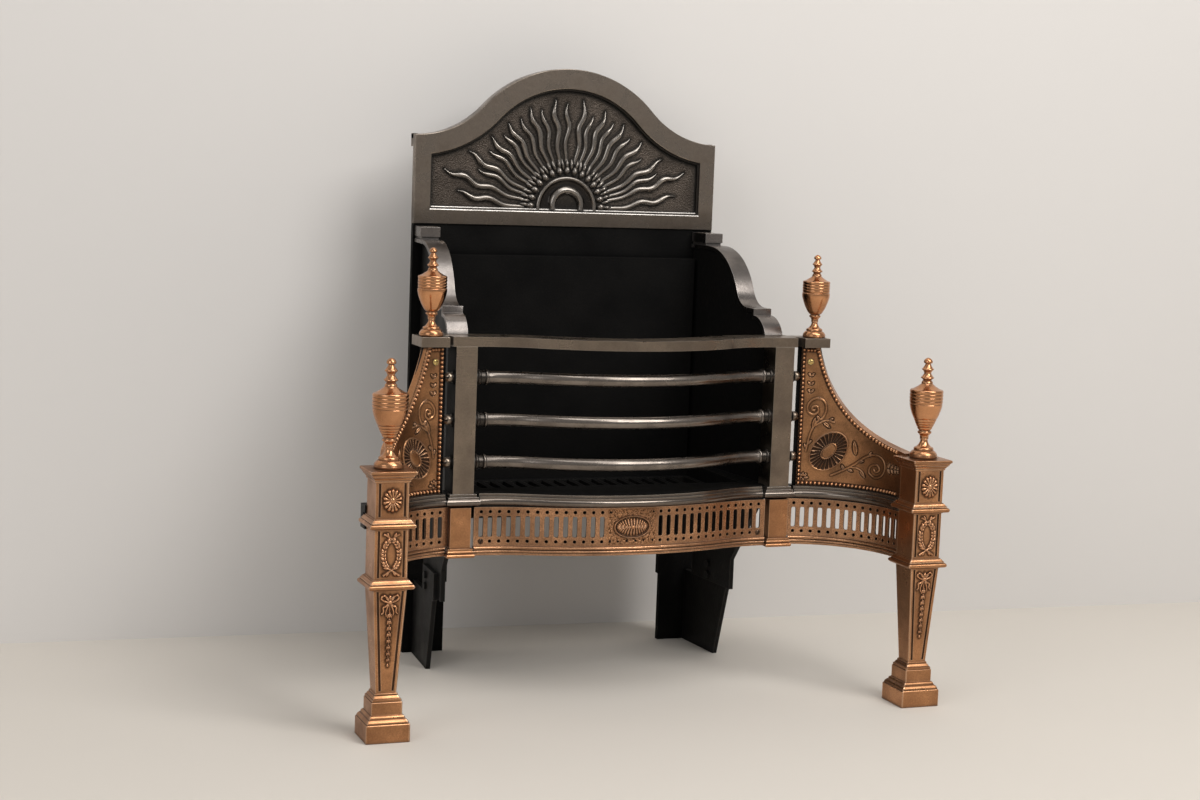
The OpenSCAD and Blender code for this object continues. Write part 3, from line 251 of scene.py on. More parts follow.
def metal(name, body, dull, bright, dark, rough, metallic=1.0, patches=0.6, edge=0.8, recess=0.85,
          reach=0.012, edge_reach=0.002, scale=14.0, stretch=(60.0, 60.0, 900.0), lumps=90.0,
          lump_share=0.5, bump=0.25, depth=0.0006, specks=0.35, shine=0.5):
    """Worn metal: duller blotches, rubbed edges also painted as highlights, dirt and painted shade
    in recesses, scratches, cast unevenness.
    """
    material = bpy.data.materials.new(name)
    material.use_nodes = True
    nodes, links = material.node_tree.nodes, material.node_tree.links
    shader = nodes["Principled BSDF"]
    shader.inputs["Specular IOR Level"].default_value = shine
    worn_and_shaded = placed(nodes, WEAR_AND_SHADE, Recess_reach=reach, Edge_reach=edge_reach, Patch_scale=scale)
    drawn = placed(nodes, GRAIN, Stretch=stretch, Lumps=lumps, Lump_share=lump_share)
    colour = laid_over(nodes, links, body, dull, worn_and_shaded["Patches"], patches)
    colour = laid_over(nodes, links, colour, dark, worn_and_shaded["Specks"], specks * 0.5)
    # Edges lightened: rubbed wear and painted highlights; recesses darkened: painted shade and dirt
    colour = laid_over(nodes, links, colour, bright, worn_and_shaded["Edge"], edge)
    colour = laid_over(nodes, links, colour, dark, worn_and_shaded["Recess"], recess)
    # The point attribute read here darkens further: dirt, and painted shade where the pieces set it
    dirt_and_shade = nodes.new("ShaderNodeAttribute")
    dirt_and_shade.attribute_name = "dirt_and_shade"
    colour = laid_over(nodes, links, colour, dark, dirt_and_shade.outputs["Fac"], 0.9)
    links.new(colour, shader.inputs["Base Color"])
    rubbed = worked(nodes, links, "MULTIPLY_ADD", worn_and_shaded["Patches"], rough[1] - rough[0], rough[0])
    links.new(worked(nodes, links, "MULTIPLY_ADD", worn_and_shaded["Recess"], 0.25, rubbed),
              shader.inputs["Roughness"])
    links.new(ramp(nodes, links, worn_and_shaded["Recess"], 0, 1, metallic, metallic * 0.35),
              shader.inputs["Metallic"])
    relief = nodes.new("ShaderNodeBump")
    relief.inputs["Strength"].default_value = bump
    relief.inputs["Distance"].default_value = depth
    links.new(drawn["Height"], relief.inputs["Height"])
    links.new(relief.outputs["Normal"], shader.inputs["Normal"])
    return material


COPPER = metal("rubbed_copper", (0.572, 0.281, 0.132), (0.281, 0.134, 0.0648), (0.90, 0.60, 0.40),
               (0.036, 0.017, 0.009), (0.24, 0.42), reach=0.006, edge=0.5, edge_reach=0.0011,
               patches=0.8, scale=24.0, specks=0.6)
FRETTED = metal("fretted_copper", (0.62, 0.33, 0.178), (0.31, 0.163, 0.09), (0.90, 0.60, 0.40),
                (0.036, 0.019, 0.010), (0.22, 0.40), reach=0.006, edge=0.5, edge_reach=0.0011,
                patches=0.9, scale=24.0, specks=1.2, lumps=420.0, lump_share=0.8, bump=0.5,
                depth=0.0009)
CHASED = metal("chased_copper", (0.568, 0.28, 0.128), (0.218, 0.112, 0.0561), (0.85, 0.54, 0.35),
               (0.024, 0.012, 0.007), (0.28, 0.46), reach=0.005, edge=0.45, edge_reach=0.0011,
               scale=26.0, patches=0.9, specks=0.8)
RAISED = metal("raised_copper", (0.68, 0.35, 0.18), (0.44, 0.215, 0.105), (0.92, 0.62, 0.42),
               (0.030, 0.014, 0.007), (0.22, 0.34), reach=0.0032, edge=0.25, edge_reach=0.0008,
               recess=1.0)
TURNED = metal("turned_copper", (0.696, 0.342, 0.166), (0.394, 0.186, 0.09), (0.92, 0.60, 0.39),
               (0.045, 0.020, 0.010), (0.15, 0.29), stretch=(40.0, 40.0, 1400.0), bump=0.12,
               patches=0.8, edge=0.35, edge_reach=0.001, scale=20.0)
STEEL = metal("burnished_steel", (0.296, 0.235, 0.18), (0.158, 0.124, 0.0949), (0.50, 0.45, 0.39),
              (0.012, 0.010, 0.009), (0.24, 0.40), stretch=(60.0, 60.0, 900.0), edge=0.35,
              edge_reach=0.001, patches=0.75, scale=22.0)
BAR_STEEL = metal("bar_steel", (0.262, 0.226, 0.196), (0.122, 0.104, 0.090), (0.60, 0.56, 0.52),
                  (0.010, 0.009, 0.008), (0.20, 0.34), stretch=(60.0, 900.0, 900.0), edge=0.35,
                  edge_reach=0.001, patches=0.85, scale=26.0)
LEDGE_STEEL = metal("ledge_steel", (0.211, 0.176, 0.149), (0.102, 0.0843, 0.0708),
                    (0.58, 0.55, 0.51), (0.008, 0.007, 0.006), (0.14, 0.27),
                    stretch=(60.0, 60.0, 900.0), edge=0.5, edge_reach=0.001)
POLISHED = metal("polished_iron", (0.277, 0.246, 0.226), (0.1, 0.0901, 0.0825), (0.66, 0.64, 0.61),
                 (0.008, 0.008, 0.008), (0.22, 0.38), lumps=160.0, lump_share=0.75, edge=0.3,
                 edge_reach=0.001, patches=0.85, scale=18.0)
CAST = metal("black_casting", (0.013, 0.012, 0.011), (0.006, 0.006, 0.006), (0.045, 0.042, 0.039),
             (0.003, 0.003, 0.003), (0.42, 0.60), metallic=0.4, lumps=240.0, lump_share=0.85,
             bump=0.5, depth=0.0009, shine=0.2, edge=0.6)
SOOT = metal("sooty_fireback", (0.0060, 0.0056, 0.0052), (0.003, 0.003, 0.003),
             (0.012, 0.011, 0.010), (0.0015, 0.0015, 0.0015), (0.60, 0.80), metallic=0.1,
             lumps=320.0, lump_share=0.9, bump=0.6, depth=0.001, shine=0.08, edge=0.4)
FRAME_IRON = metal("scoured_iron", (0.296, 0.246, 0.202), (0.145, 0.118, 0.095), (0.50, 0.47, 0.43),
                   (0.020, 0.017, 0.014), (0.22, 0.42), stretch=(500.0, 60.0, 240.0), lumps=160.0,
                   patches=0.9, edge=0.3, edge_reach=0.001, scale=30.0, specks=0.5, bump=0.4)
RELIEF_IRON = metal("rubbed_relief", (0.30, 0.27, 0.24), (0.12, 0.106, 0.094), (0.66, 0.62, 0.57),
                    (0.006, 0.005, 0.005), (0.20, 0.33), reach=0.004, edge=0.45, edge_reach=0.0012,
                    recess=0.95, lumps=300.0, lump_share=0.8)
BRIGHT = metal("bright_iron", (0.42, 0.39, 0.36), (0.26, 0.24, 0.22), (0.75, 0.72, 0.68),
               (0.03, 0.028, 0.025), (0.18, 0.30), recess=0.5, stretch=(50.0, 900.0, 900.0))
STIPPLED = metal("stippled_ground", (0.130, 0.105, 0.086), (0.065, 0.052, 0.0425),
                 (0.16, 0.145, 0.13), (0.004, 0.004, 0.003), (0.34, 0.50), metallic=0.85,
                 lumps=420.0, lump_share=1.0, bump=1.0, depth=0.0022, reach=0.012, specks=1.0,
                 scale=20.0, edge=0.0)
BRONZED = metal("dark_screw", (0.16, 0.095, 0.060), (0.07, 0.042, 0.028), (0.40, 0.28, 0.20),
                (0.010, 0.006, 0.004), (0.26, 0.40), reach=0.003, edge=0.4, edge_reach=0.0006)
BRASS = metal("screw_brass", (0.72, 0.52, 0.19), (0.50, 0.34, 0.12), (0.95, 0.78, 0.42),
              (0.07, 0.045, 0.015), (0.18, 0.30), reach=0.003, edge_reach=0.0006)


# --- making meshes -----------------------------------------------------------------------------

def skin(points, round_rows=False, round_columns=False, lids=False):
    """Quads over a grid of points; lids close its first and last row by fans."""
    points = np.asarray(points, float)
    rows, columns = points.shape[:2]
    number = np.arange(rows * columns).reshape(rows, columns)
    if round_rows:
        number = np.vstack((number, number[:1]))
    if round_columns:
        number = np.hstack((number, number[:, :1]))
    quads = spread(number[:-1, :-1], number[:-1, 1:], number[1:, 1:],
                   number[1:, :-1]).reshape(-1, 4)
    verts = points.reshape(-1, 3)
    fans = np.zeros((0, 3), int)
    if lids:
        low, high = number[0], number[-1]
        verts = np.vstack((verts, points[0].mean(0), points[-1].mean(0)))
        n = rows * columns
        fans = np.vstack((spread(low[1:], low[:-1], n), spread(high[:-1], high[1:], n + 1)))
    return verts, quads, fans


def spread(*axes):
    """Points from their coordinates, each of them a number, a row, a column or a whole grid."""
    return np.stack(np.broadcast_arrays(*axes), -1)


def held(values):
    """Values held between 0 and 1."""
    return np.clip(values, 0, 1)


def half_round(x):
    """Height of a half circle of radius 1 at x, and 0 outside it."""
    return np.sqrt(held(1 - x ** 2))


def closed(points):
    """Solid skin: each row of points is a loop, and lids shut the first and the last."""
    return skin(points, round_columns=True, lids=True)


def circle(steps):
    """Angles once round."""
    return np.linspace(0, 2 * np.pi, steps, endpoint=False)


def lay_dirt_and_shade(mesh, dirt_and_shade):
    """Dirt and painted shade of each point, from 0 to 1, written where the metals read it."""
    layer = mesh.attributes.new("dirt_and_shade", "FLOAT", "POINT")
    layer.data.foreach_set("value", np.asarray(dirt_and_shade, np.float32))


def piece(name, skins, finish, metal_slot, stands_for=(), crease=34, dirt_and_shade=None):
    """One object of many skins, moved from millimetres about the front legs to the row frame."""
    verts = np.vstack([s[0] for s in skins])
    starts = np.cumsum([0] + [len(s[0]) for s in skins[:-1]])
    quads = np.vstack([s[1] + k for s, k in zip(skins, starts)])
    fans = np.vstack([s[2] + k for s, k in zip(skins, starts)])
    verts = (verts - (0, MID_Y, 0)) / 1000
    mesh = bpy.data.meshes.new(name)
    mesh.vertices.add(len(verts))
    mesh.vertices.foreach_set("co", verts.ravel())
    mesh.loops.add(quads.size + fans.size)
    mesh.loops.foreach_set("vertex_index", np.concatenate((quads.ravel(), fans.ravel())))
    mesh.polygons.add(len(quads) + len(fans))
    mesh.polygons.foreach_set("loop_start", np.concatenate(
        (np.arange(len(quads)) * 4, quads.size + np.arange(len(fans)) * 3)))
    mesh.update(calc_edges=True)
    if dirt_and_shade is not None:
        lay_dirt_and_shade(mesh, dirt_and_shade)
    mesh.validate()
    work = bmesh.new()
    work.from_mesh(mesh)
    bmesh.ops.remove_doubles(work, verts=work.verts, dist=2e-6)
    bmesh.ops.dissolve_degenerate(work, edges=work.edges, dist=1e-6)
    bmesh.ops.recalc_face_normals(work, faces=work.faces)
    work.to_mesh(mesh)
    work.free()
    mesh.polygons.foreach_set("use_smooth", np.ones(len(mesh.polygons), bool))
    mesh.set_sharp_from_angle(angle=radians(crease))
    mesh.materials.append(finish)
    made = bpy.data.objects.new(name, mesh)
    bpy.context.scene.collection.objects.link(made)
    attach(made, BODY)
    if stands_for:
        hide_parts(*stands_for)
    return made


def pairs(*rows):
    """Pieces drawn on the right: the left side's mirrors first, then the right side's own."""
    for side, turn in (("left", mirrored), ("right", list)):
        for name, skins, finish, metal_slot, stands_for, more in rows:
            nodes = [f"{node}_{side}" for node in stands_for]
            piece(f"{name}_{side}", turn(skins), finish, metal_slot, nodes, **more)


def soften(made, width):
    """A narrow rounding on every sharp edge."""
    rounding = made.modifiers.new("rounding", "BEVEL")
    rounding.width, rounding.segments = width, 2
    rounding.limit_method, rounding.angle_limit = "ANGLE", radians(SHARP)
    rounding.harden_normals = True
    rounding.miter_outer = "MITER_ARC"


def rubbed_copy(node, finish, width):
    """A solid's own shape with rubbed edges: a merged copy, flat triangles joined, then a bevel."""
    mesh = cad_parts[node].data.copy()
    work = bmesh.new()
    work.from_mesh(mesh)
    bmesh.ops.remove_doubles(work, verts=work.verts, dist=4e-6)
    bmesh.ops.dissolve_limit(work, angle_limit=radians(0.6), verts=work.verts, edges=work.edges)
    bmesh.ops.recalc_face_normals(work, faces=work.faces)
    work.to_mesh(mesh)
    work.free()
    mesh.materials.clear()
    mesh.materials.append(finish)
    mesh.polygons.foreach_set("use_smooth", np.ones(len(mesh.polygons), bool))
    mesh.set_sharp_from_angle(angle=radians(SHARP))
    made = bpy.data.objects.new(node + "_rubbed", mesh)
    bpy.context.scene.collection.objects.link(made)
    soften(made, width)
    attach(made, BODY)
    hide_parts(node)
    return made


def gap_to(places, cloud):
    """Distance from each place of a grid to the nearest point of a cloud, in blocks of rows."""
    flat, cloud = places.reshape(-1, 2).astype(np.float32), np.asarray(cloud, np.float32)
    blocks = np.array_split(flat, max(1, len(flat) * len(cloud) // 2000000))
    gaps = [((block[:, None] - cloud[None]) ** 2).sum(-1).min(1) for block in blocks]
    return np.sqrt(np.concatenate(gaps)).reshape(places.shape[:-1])


def moved_square(line, by):
    """A flat line moved square to itself, to its right as it runs."""
    ahead = np.gradient(line, axis=0)
    ahead /= np.hypot(*ahead.T)[:, None]
    return line + spread(ahead[:, 1], -ahead[:, 0]) * by


def shadow_cloud(skins, every):
    """Flat places of every so many points of a drawing, to find what lies near it."""
    return np.vstack([v[::every, :2] for v, q, f in skins])


def mirrored(skins):
    """The same skins on the other side of x = 0."""
    return [(v * (-1, 1, 1), q[:, ::-1], f[:, ::-1]) for v, q, f in skins]


def turned(outline, place):
    """An outline of (radius, height) turned round the upright axis through a place."""
    r, z, a = outline[:, :1], outline[:, 1:], circle(72)
    return closed(spread(r * np.cos(a), r * np.sin(a), z) + place)


def moulded(parts):
    """Points along parts (r0, z0, r1, z1, bulge); a bulge is half an ellipse laid on the line."""
    points = []
    for r0, z0, r1, z1, bulge in parts:
        t = (1 - np.cos(np.linspace(0, np.pi, 10 if bulge else 2))) / 2
        points.append(spread(r0 + (r1 - r0) * t + bulge * half_round(2 * t - 1),
                             z0 + (z1 - z0) * t))
    return np.vstack(points)


# --- urn finials -------------------------------------------------------------------------------

def urn(height, reeded, place):
    """Urn: stepped foot, waist, knop, bowl with reeds, hollow lid, two pointed beads, button."""
    bowl = ([(8.5, 41.0, 10.9, 45.2, 0.5), (10.6, 45.4, 12.9, 49.0, 0.5),
             (12.6, 49.2, 14.6, 52.8, 0.5), (14.3, 53.0, 16.3, 57.0, 0.4),
             (16.0, 57.3, 23.2, 79.4, 1.6)] if reeded else [(8.8, 41.0, 23.2, 79.4, 4.6)])
    foot = [(0.1, 0, 18.6, 0, 0), (18.6, 0.2, 19.6, 4.6, 0.9), (19.5, 4.8, 14.8, 11.4, 1.4),
            (13.9, 11.6, 13.7, 12.4, 0), (13.9, 12.6, 12.6, 16.2, 1.0),
            (12.2, 16.4, 6.5, 28.4, -2.9), (6.4, 28.6, 6.3, 32.4, -0.1),
            (6.5, 32.6, 9.6, 36.4, -0.5), (9.7, 36.6, 9.5, 39.4, 0.5), (8.2, 39.6, 8.0, 40.8, 0)]
    reeds = [(23.2 - 0.3 * (k == 0), 79.7 + 4.9 * k, 23.5, 84.3 + 4.9 * k, 0.75) for k in range(4)]
    lid = [(23.4, 99.2, 22.8, 99.8, 0), (22.5, 99.9, 8.2, 109.4, -2.4),
           (8.2, 109.5, 6.3, 112.8, 0.5), (6.1, 113.1, 9.4, 116.4, -0.7),
           (9.4, 116.5, 8.8, 118.2, 0.3), (8.7, 118.3, 5.4, 123.2, -0.5),
           (4.9, 123.4, 5.0, 124.2, 0), (5.4, 124.4, 8.5, 128.6, -0.6),
           (8.5, 128.7, 8.0, 130.4, 0.3), (7.9, 130.5, 4.2, 136.6, -0.5),
           (3.9, 136.8, 3.9, 137.6, 0), (4.2, 137.8, 0.05, 146.0, 3.9)]
    outline = moulded(foot + bowl + reeds + lid)
    return [turned(outline * (height / outline[-1, 1]), place)]


for end, x, y, z, tall in (("front", 400, 0, 363.5, 146.4), ("rear", 298.25, 166.5, 523, 124.0)):
    for side, way in (("left", -1), ("right", 1)):
        piece(f"urn_{end}_{side}", urn(tall, end == "front", (way * x, y, z)), TURNED, "copper",
              (f"finial_{end}_{side}",), crease=24)


# --- relief work -------------------------------------------------------------------------------

def through(points, count):
    """Smooth line through chosen points: each stretch is a cubic of its four neighbours."""
    p = np.asarray(points, float)
    p = np.vstack((2 * p[0] - p[1], p, 2 * p[-1] - p[-2]))
    t = np.linspace(0, len(p) - 3, count)
    k = np.minimum(t.astype(int), len(p) - 4)
    f = (t - k)[:, None]
    a, b, c, d = p[k], p[k + 1], p[k + 2], p[k + 3]
    return 0.5 * (2 * b + (c - a) * f + (2 * a - 5 * b + 4 * c - d) * f ** 2
                  + (3 * b - a - 3 * c + d) * f ** 3)


def evenly(line, pitch):
    """Points along a line at one distance from each other."""
    reach = np.concatenate(([0], np.cumsum(np.hypot(*np.diff(line, axis=0).T))))
    marks = np.linspace(0, reach[-1], max(2, int(round(reach[-1] / pitch)) + 1))
    return np.stack([np.interp(marks, reach, line[:, k]) for k in (0, 1)], -1)


def blade(line, width, height, sides=7):
    """Raised strip along a flat line: half an ellipse at each point, sunk a little at its foot."""
    line = np.asarray(line, float)
    along = np.gradient(line, axis=0)
    along /= np.maximum(np.hypot(*along.T), 1e-9)[:, None]
    across = spread(-along[:, 1], along[:, 0])
    width, height = (np.broadcast_to(np.asarray(v, float), len(line)) for v in (width, height))
    a = np.linspace(0, np.pi, sides)
    u, v = np.cos(a), np.sin(a)
    flat = line[:, None, :] + across[:, None, :] * (width[:, None] / 2 * u)[..., None]
    up = height[:, None] * v - 0.4 * (np.abs(u) > 0.999)
    return closed(np.concatenate((flat, up[..., None]), -1))


def leaf(foot, heading, length, width, height, steps, bend=0.0):
    """A blade that swells and narrows as a sine, its line bent aside by a share of its length."""
    t = np.linspace(0, 1, steps)
    a = radians(heading)
    side = bend * length * np.sin(np.pi * t / 2) ** 2
    line = spread(foot[0] + np.cos(a) * length * t - np.sin(a) * side,
                  foot[1] + np.sin(a) * length * t + np.cos(a) * side)
    swell = np.sin(np.pi * (0.06 + 0.92 * t ** 0.85)) ** 0.8
    return blade(line, width * swell, height * swell)


def dome(place, w, h, height, rings, steps=16):
    """Half an ellipsoid of full width w and h on a flat ground, sunk a little at its foot."""
    a = np.linspace(0, np.pi / 2, rings)[:, None]
    b = circle(steps)[None]
    r, up = np.cos(a), np.sin(a)
    grid = spread(place[0] + w / 2 * r * np.cos(b), place[1] + h / 2 * r * np.sin(b),
                  height * up - 0.4 * (r > 0.999))
    return closed(grid)


def laid(skins, where):
    """Skins drawn as (across, up, height) put onto a surface by a rule."""
    return [(where(v), q, f) for v, q, f in skins]


def slab(front, back):
    """Closed plate between a front and a back grid, swept from first row to last."""
    return closed(np.concatenate((front, back[:, ::-1]), 1))


# --- arched back -------------------------------------------------------------------------------

# Half width, shoulder, peak and turn of the arch from hollow to round; depth of the sunk ground
BACK_HALF, SHOULDER, PEAK, ARCH_TURN, FIELD_Y = 248.5, 805.0, 914.0, 138.0, 456.5
# Insets at which the frame's face ends and its wall meets the ground, and the hood's thickness
FACE_INSET, WALL_INSET, HOOD = 31.0, 34.3, 7
ARCH_A = 2 * atan((PEAK - SHOULDER) / BACK_HALF)
ARCH_MID, ARCH_END = ARCH_TURN / sin(ARCH_A), (BACK_HALF - ARCH_TURN) / sin(ARCH_A)


def arch_top(x, inset):
    """Height of the arch at x: a round crown between hollow shoulders, radii moved by the inset."""
    x = np.abs(np.asarray(x, float))
    crown, hollow = ARCH_MID - inset, ARCH_END + inset
    turn = crown * sin(ARCH_A)
    over = PEAK - ARCH_MID + np.sqrt(np.maximum(0, crown ** 2 - x ** 2))
    under = SHOULDER + ARCH_END - np.sqrt(np.maximum(0, hollow ** 2 - (BACK_HALF - x) ** 2))
    return np.where(x < turn, over, under)


def panel_line(inset, side_inset, foot):
    """Outline of the panel: up the left side, over the arch, down the right, back on the foot."""
    half = BACK_HALF - side_inset
    x = half * np.sin(np.linspace(-np.pi / 2, np.pi / 2, 150))
    top = spread(x, arch_top(x, inset))
    rise = np.linspace(foot, top[0, 1], 24, endpoint=False)
    base = spread(half * np.cos(np.linspace(0, np.pi, 60)[1:-1]), foot)
    return np.vstack((spread(-half, rise), top, spread(half, rise)[::-1], base))


def arched_panel():
    """Frame of the panel: its outline shrinks inward while its depth follows a moulded section."""
    section = [(0, 461.5), (0, 449.0), (0.35, 448.0), (1.2, 447.5), (1.5, 447.5), (29.5, 447.5),
               (29.8, 447.5), (30.7, 447.8), (FACE_INSET, 448.7), (31.2, 451.6), (31.5, 451.9),
               (33.6, 452.0), (33.9, 452.3), (WALL_INSET, 457.4), (WALL_INSET, 461.5)]
    rows = []
    for inset, y in section:
        share = inset / FACE_INSET
        foot = 669.5 + 22.0 * min(share, 1) + max(0, inset - FACE_INSET) * 0.4
        line = panel_line(inset, 25.5 * share, foot)
        rows.append(spread(line[:, 0], y, line[:, 1]))
    # Painted shade on the frame's inner wall, and the frame darker towards its foot
    wall, z = held((np.array(section)[:, :1] - 30.9) / 0.4), np.array(rows)[..., 2]
    foot = np.maximum(held((700 - z) / 8) * 0.3, 0.48 * held((690 - z) / 10))
    return [skin(rows, round_rows=True, round_columns=True)], np.maximum(wall, foot).ravel()


def panel_field(drawn):
    """Sunk ground: a plate whose top follows the arch, with painted shade close to the rays and
    frame.
    """
    half, foot, inset = 224, 688, 29.5
    x = half * np.sin(np.linspace(-np.pi / 2, np.pi / 2, 260))
    t = np.linspace(0, 1, 110)
    z = foot + (arch_top(x, inset)[:, None] - foot) * t
    flat = spread(x[:, None], z)
    # Painted shade close to the rays and the disc, and along the frame's wall
    near = held(1 - (gap_to(flat, shadow_cloud(drawn, 4)) - 0.5) / 5.5)
    wall = np.minimum(arch_top(x, WALL_INSET)[:, None] - z, 222.0 - np.abs(flat[..., 0]))
    dirt_and_shade = held(0.95 * near + 0.75 * held(1 - wall / 6) + 0.4 * held(1 - wall / 28))
    grid = spread(x[:, None], FIELD_Y, z)
    coarse = np.linspace(0, len(t) - 1, 4).astype(int)
    worn_and_shaded = np.concatenate((dirt_and_shade, np.zeros((len(x), 4))), 1)
    return [slab(grid, (grid + (0, 4.5, 0))[:, coarse])], np.concatenate((worn_and_shaded.ravel(), (0, 0)))


def hood():
    """Strip behind the arch, the outline moved in and carried back, and its two short returns."""
    x = BACK_HALF * np.sin(np.linspace(-np.pi / 2, np.pi / 2, 160))
    out = spread(x, arch_top(x, 0))
    inward = moved_square(out, HOOD)
    inward[0, 0], inward[-1, 0] = -BACK_HALF, BACK_HALF
    loop = [(out, 460.9), (out, 471.6), (out + (inward - out) * 0.12, 472.5), (inward, 472.5),
            (inward, 460.9)]
    rows = np.array([spread(line[:, 0], y, line[:, 1]) for line, y in loop])
    strips = [closed(rows.transpose(1, 0, 2))]
    for side in (-1, 1):
        box = np.array([[(side * BACK_HALF, y, z), (side * (BACK_HALF - HOOD), y, z)] for y, z in
                        ((460.9, 806), (472.5, 806), (472.5, 786), (460.9, 786))])
        strips.append(closed(box.transpose(1, 0, 2)))
    return strips


def sill():
    """Polished bead along the foot of the field: a rounded section carried from side to side."""
    a = circle(14)
    x = np.linspace(-223.4, 223.4, 3)
    loops = []
    for y, z, deep, tall in ((450.4, 691.2, 3.4, 2.3), (455.0, 695.2, 2.2, 1.8)):
        loops.append(closed(spread(x[:, None], y - deep * np.cos(a), z + tall * np.sin(a))))
    return loops


def on_field(v):
    """Drawing (across, up, height) laid on the sunk ground."""
    return spread(v[:, 0], FIELD_Y - v[:, 2], v[:, 1])


# Middle of the sun, radius at which its rays start, and length of the first wave of a ray
SUN_Z, RAY_START, WAVE = 698.0, 70.5, 47
# Rays from left to right: heading in degrees, and radius of the tip
RAYS = ((173.3, 179), (164.7, 208), (158.3, 156), (153, 181), (145.6, 154), (139.8, 165),
        (132.9, 153), (127.3, 162), (119.6, 158), (112.6, 166), (106.1, 158), (98.3, 170),
        (90.7, 163), (81.3, 170), (75.1, 150), (68.3, 165), (61.8, 155), (55.1, 163), (48.1, 153),
        (40.7, 164), (33.8, 148), (26.6, 179), (21.1, 162), (16.9, 208), (7.3, 186))


def sun_rays():
    """Wavy rays: each sways about its heading as it runs out, swells and comes to a point."""
    rays = []
    for k, (heading, tip) in enumerate(RAYS):
        t = np.linspace(0, 1, 46)
        side = np.sign(90.5 - heading)
        long = k % 2 == 1 or tip > 170
        r = RAY_START + (tip - RAY_START) * t
        low = held(abs(90 - heading) / 83)
        run = (r - RAY_START) / WAVE
        sway = (0.8 + 2.8 * held(1.7 * t)) * (1 - 0.4 * t ** 3) * np.sin(
            2 * np.pi * (0.34 + run * (0.66 + 0.09 * run) + 0.035 * (k % 3)))
        drift = -(5.5 * low + 1.0) * (1 - t) ** 1.4
        angle = np.radians(heading + side * drift + side * np.degrees(sway / r))
        line = spread(r * np.cos(angle), SUN_Z + r * np.sin(angle))
        wide, tall = (9.8, 5.8) if long else (8.2, 4.8)
        wide = wide * (0.34 + 0.66 * np.sin(np.pi * held(0.12 + 0.62 * t)) ** 1.3)
        tall = tall * (0.4 + 0.6 * held(t * 2.0))
        rays.append(blade(line, wide * np.clip((1.0 - t) * 5.0, 0.06, 1) ** 0.7,
                          tall * np.clip((1.02 - t) * 4.5, 0.12, 1) ** 0.5, sides=9))
    return rays


def sun_buds():
    """Tear-shaped buds about the disc, a pointed flame over each and a smaller one between."""
    made = []
    for k in range(15):
        a = 3.5 + 173 * k / 14
        c, s = cos(radians(a)), sin(radians(a))
        made.append(leaf((52.0 * c, SUN_Z + 52.0 * s), a, 15.5, 10.6, 6.6, steps=11))
        made.append(leaf((62.5 * c, SUN_Z + 62.5 * s), a + (16 if k % 2 else -16), 15, 6.2, 6.4,
                         bend=-0.16 if k % 2 else 0.16, steps=10))
        if k < 14:
            gap = a + 173 / 28
            c, s = cos(radians(gap)), sin(radians(gap))
            made.append(leaf((60.0 * c, SUN_Z + 60.0 * s), gap - 9, 17.5, 5.8, 4.8, bend=0.2,
                             steps=10))
    return made


def sun_disc():
    """Rather more than half of a turned disc: raised ring, gap, thick band and eye, gap and eye
    dark with painted shade.
    """
    outline = np.array([(50.4, -0.4), (50.2, 2.4), (49.2, 4.4), (47.6, 5.2), (45.8, 5.0),
                        (44.2, 3.6), (43.2, 2.2), (42.2, 1.5), (40.0, 1.0), (33.6, 1.0),
                        (32.4, 2.4), (31.4, 4.8), (29.8, 7.0), (27.8, 8.3), (25.6, 8.6),
                        (23.4, 8.0), (21.6, 6.2), (20.6, 3.6), (20.0, 1.0), (18.6, 0.4), (0.1, 0.4),
                        (0.1, -0.4)])
    a = np.radians(np.linspace(-4, 184, 73))[:, None]
    rise = held(np.sin(a))
    share = (outline[:, 0] - 20.0) / 13.6
    swell = np.where((share >= 0) & (share <= 1), 17.8 + 3.4 * rise + share * (11.6 + 4.2 * rise),
                     outline[:, 0])
    swell = np.where((share < 0) & (share > -0.2), (17.8 + 3.4 * rise) * (1 + share * 0.8), swell)
    made = closed(spread(swell * np.cos(a), SUN_Z + swell * np.sin(a), outline[:, 1]))
    r = outline[:, 0]
    # Painted shade in the eye and in the gap between ring and band
    eye = np.tile(np.where(r < 20.3, 1.0, np.where((r < 43.4) & (r > 31.8), 0.95, 0.0)), 73)
    return [made], np.concatenate((eye, (1.0, 1.0)))


frame_skins, frame_darkening = arched_panel()
hood_skins = hood()
piece("arched_frame", frame_skins + hood_skins, FRAME_IRON, "steel", ("back_panel",), crease=30,
      dirt_and_shade=np.concatenate([frame_darkening] + [np.zeros(len(v)) for v, q, f in hood_skins]))
piece("arched_sill", sill(), BRIGHT, "steel", crease=50)
rays, (disc, disc_shade) = sun_rays() + sun_buds(), sun_disc()
field, field_shade = panel_field(rays + disc)
piece("arched_field", field, STIPPLED, "steel", crease=30, dirt_and_shade=field_shade)
piece("sun_rays", laid(rays, on_field), RELIEF_IRON, "steel", ("sunburst",), crease=60)
piece("sun_disc", laid(disc, on_field), RELIEF_IRON, "steel", crease=45, dirt_and_shade=disc_shade)


# --- curved spandrels --------------------------------------------------------------------------

# Middle and radius of the quarter bend, and its length, after which it runs on straight
SIDE_X, SIDE_Y, SIDE_R = 247.5, 33.0, 136.5
SIDE_END = SIDE_R * np.pi / 2
# Far end, foot and top of the spandrel; its screw, as degrees round the bend and height
SPAN_S1, SPAN_Z0, SPAN_TOP = SIDE_END + 10.1, 299.0, 509.0
SCREW_TURN, SCREW_Z = 19.3, 487.0
# Carved oval: degrees round the bend, height, tilt, half widths of its rim and of its inner rim
OVAL_TURN, OVAL_Z, OVAL_TILT, OVAL, OVAL_INNER = 33.3, 353.0, 47, (33.5, 23.6), (14.0, 8.2)


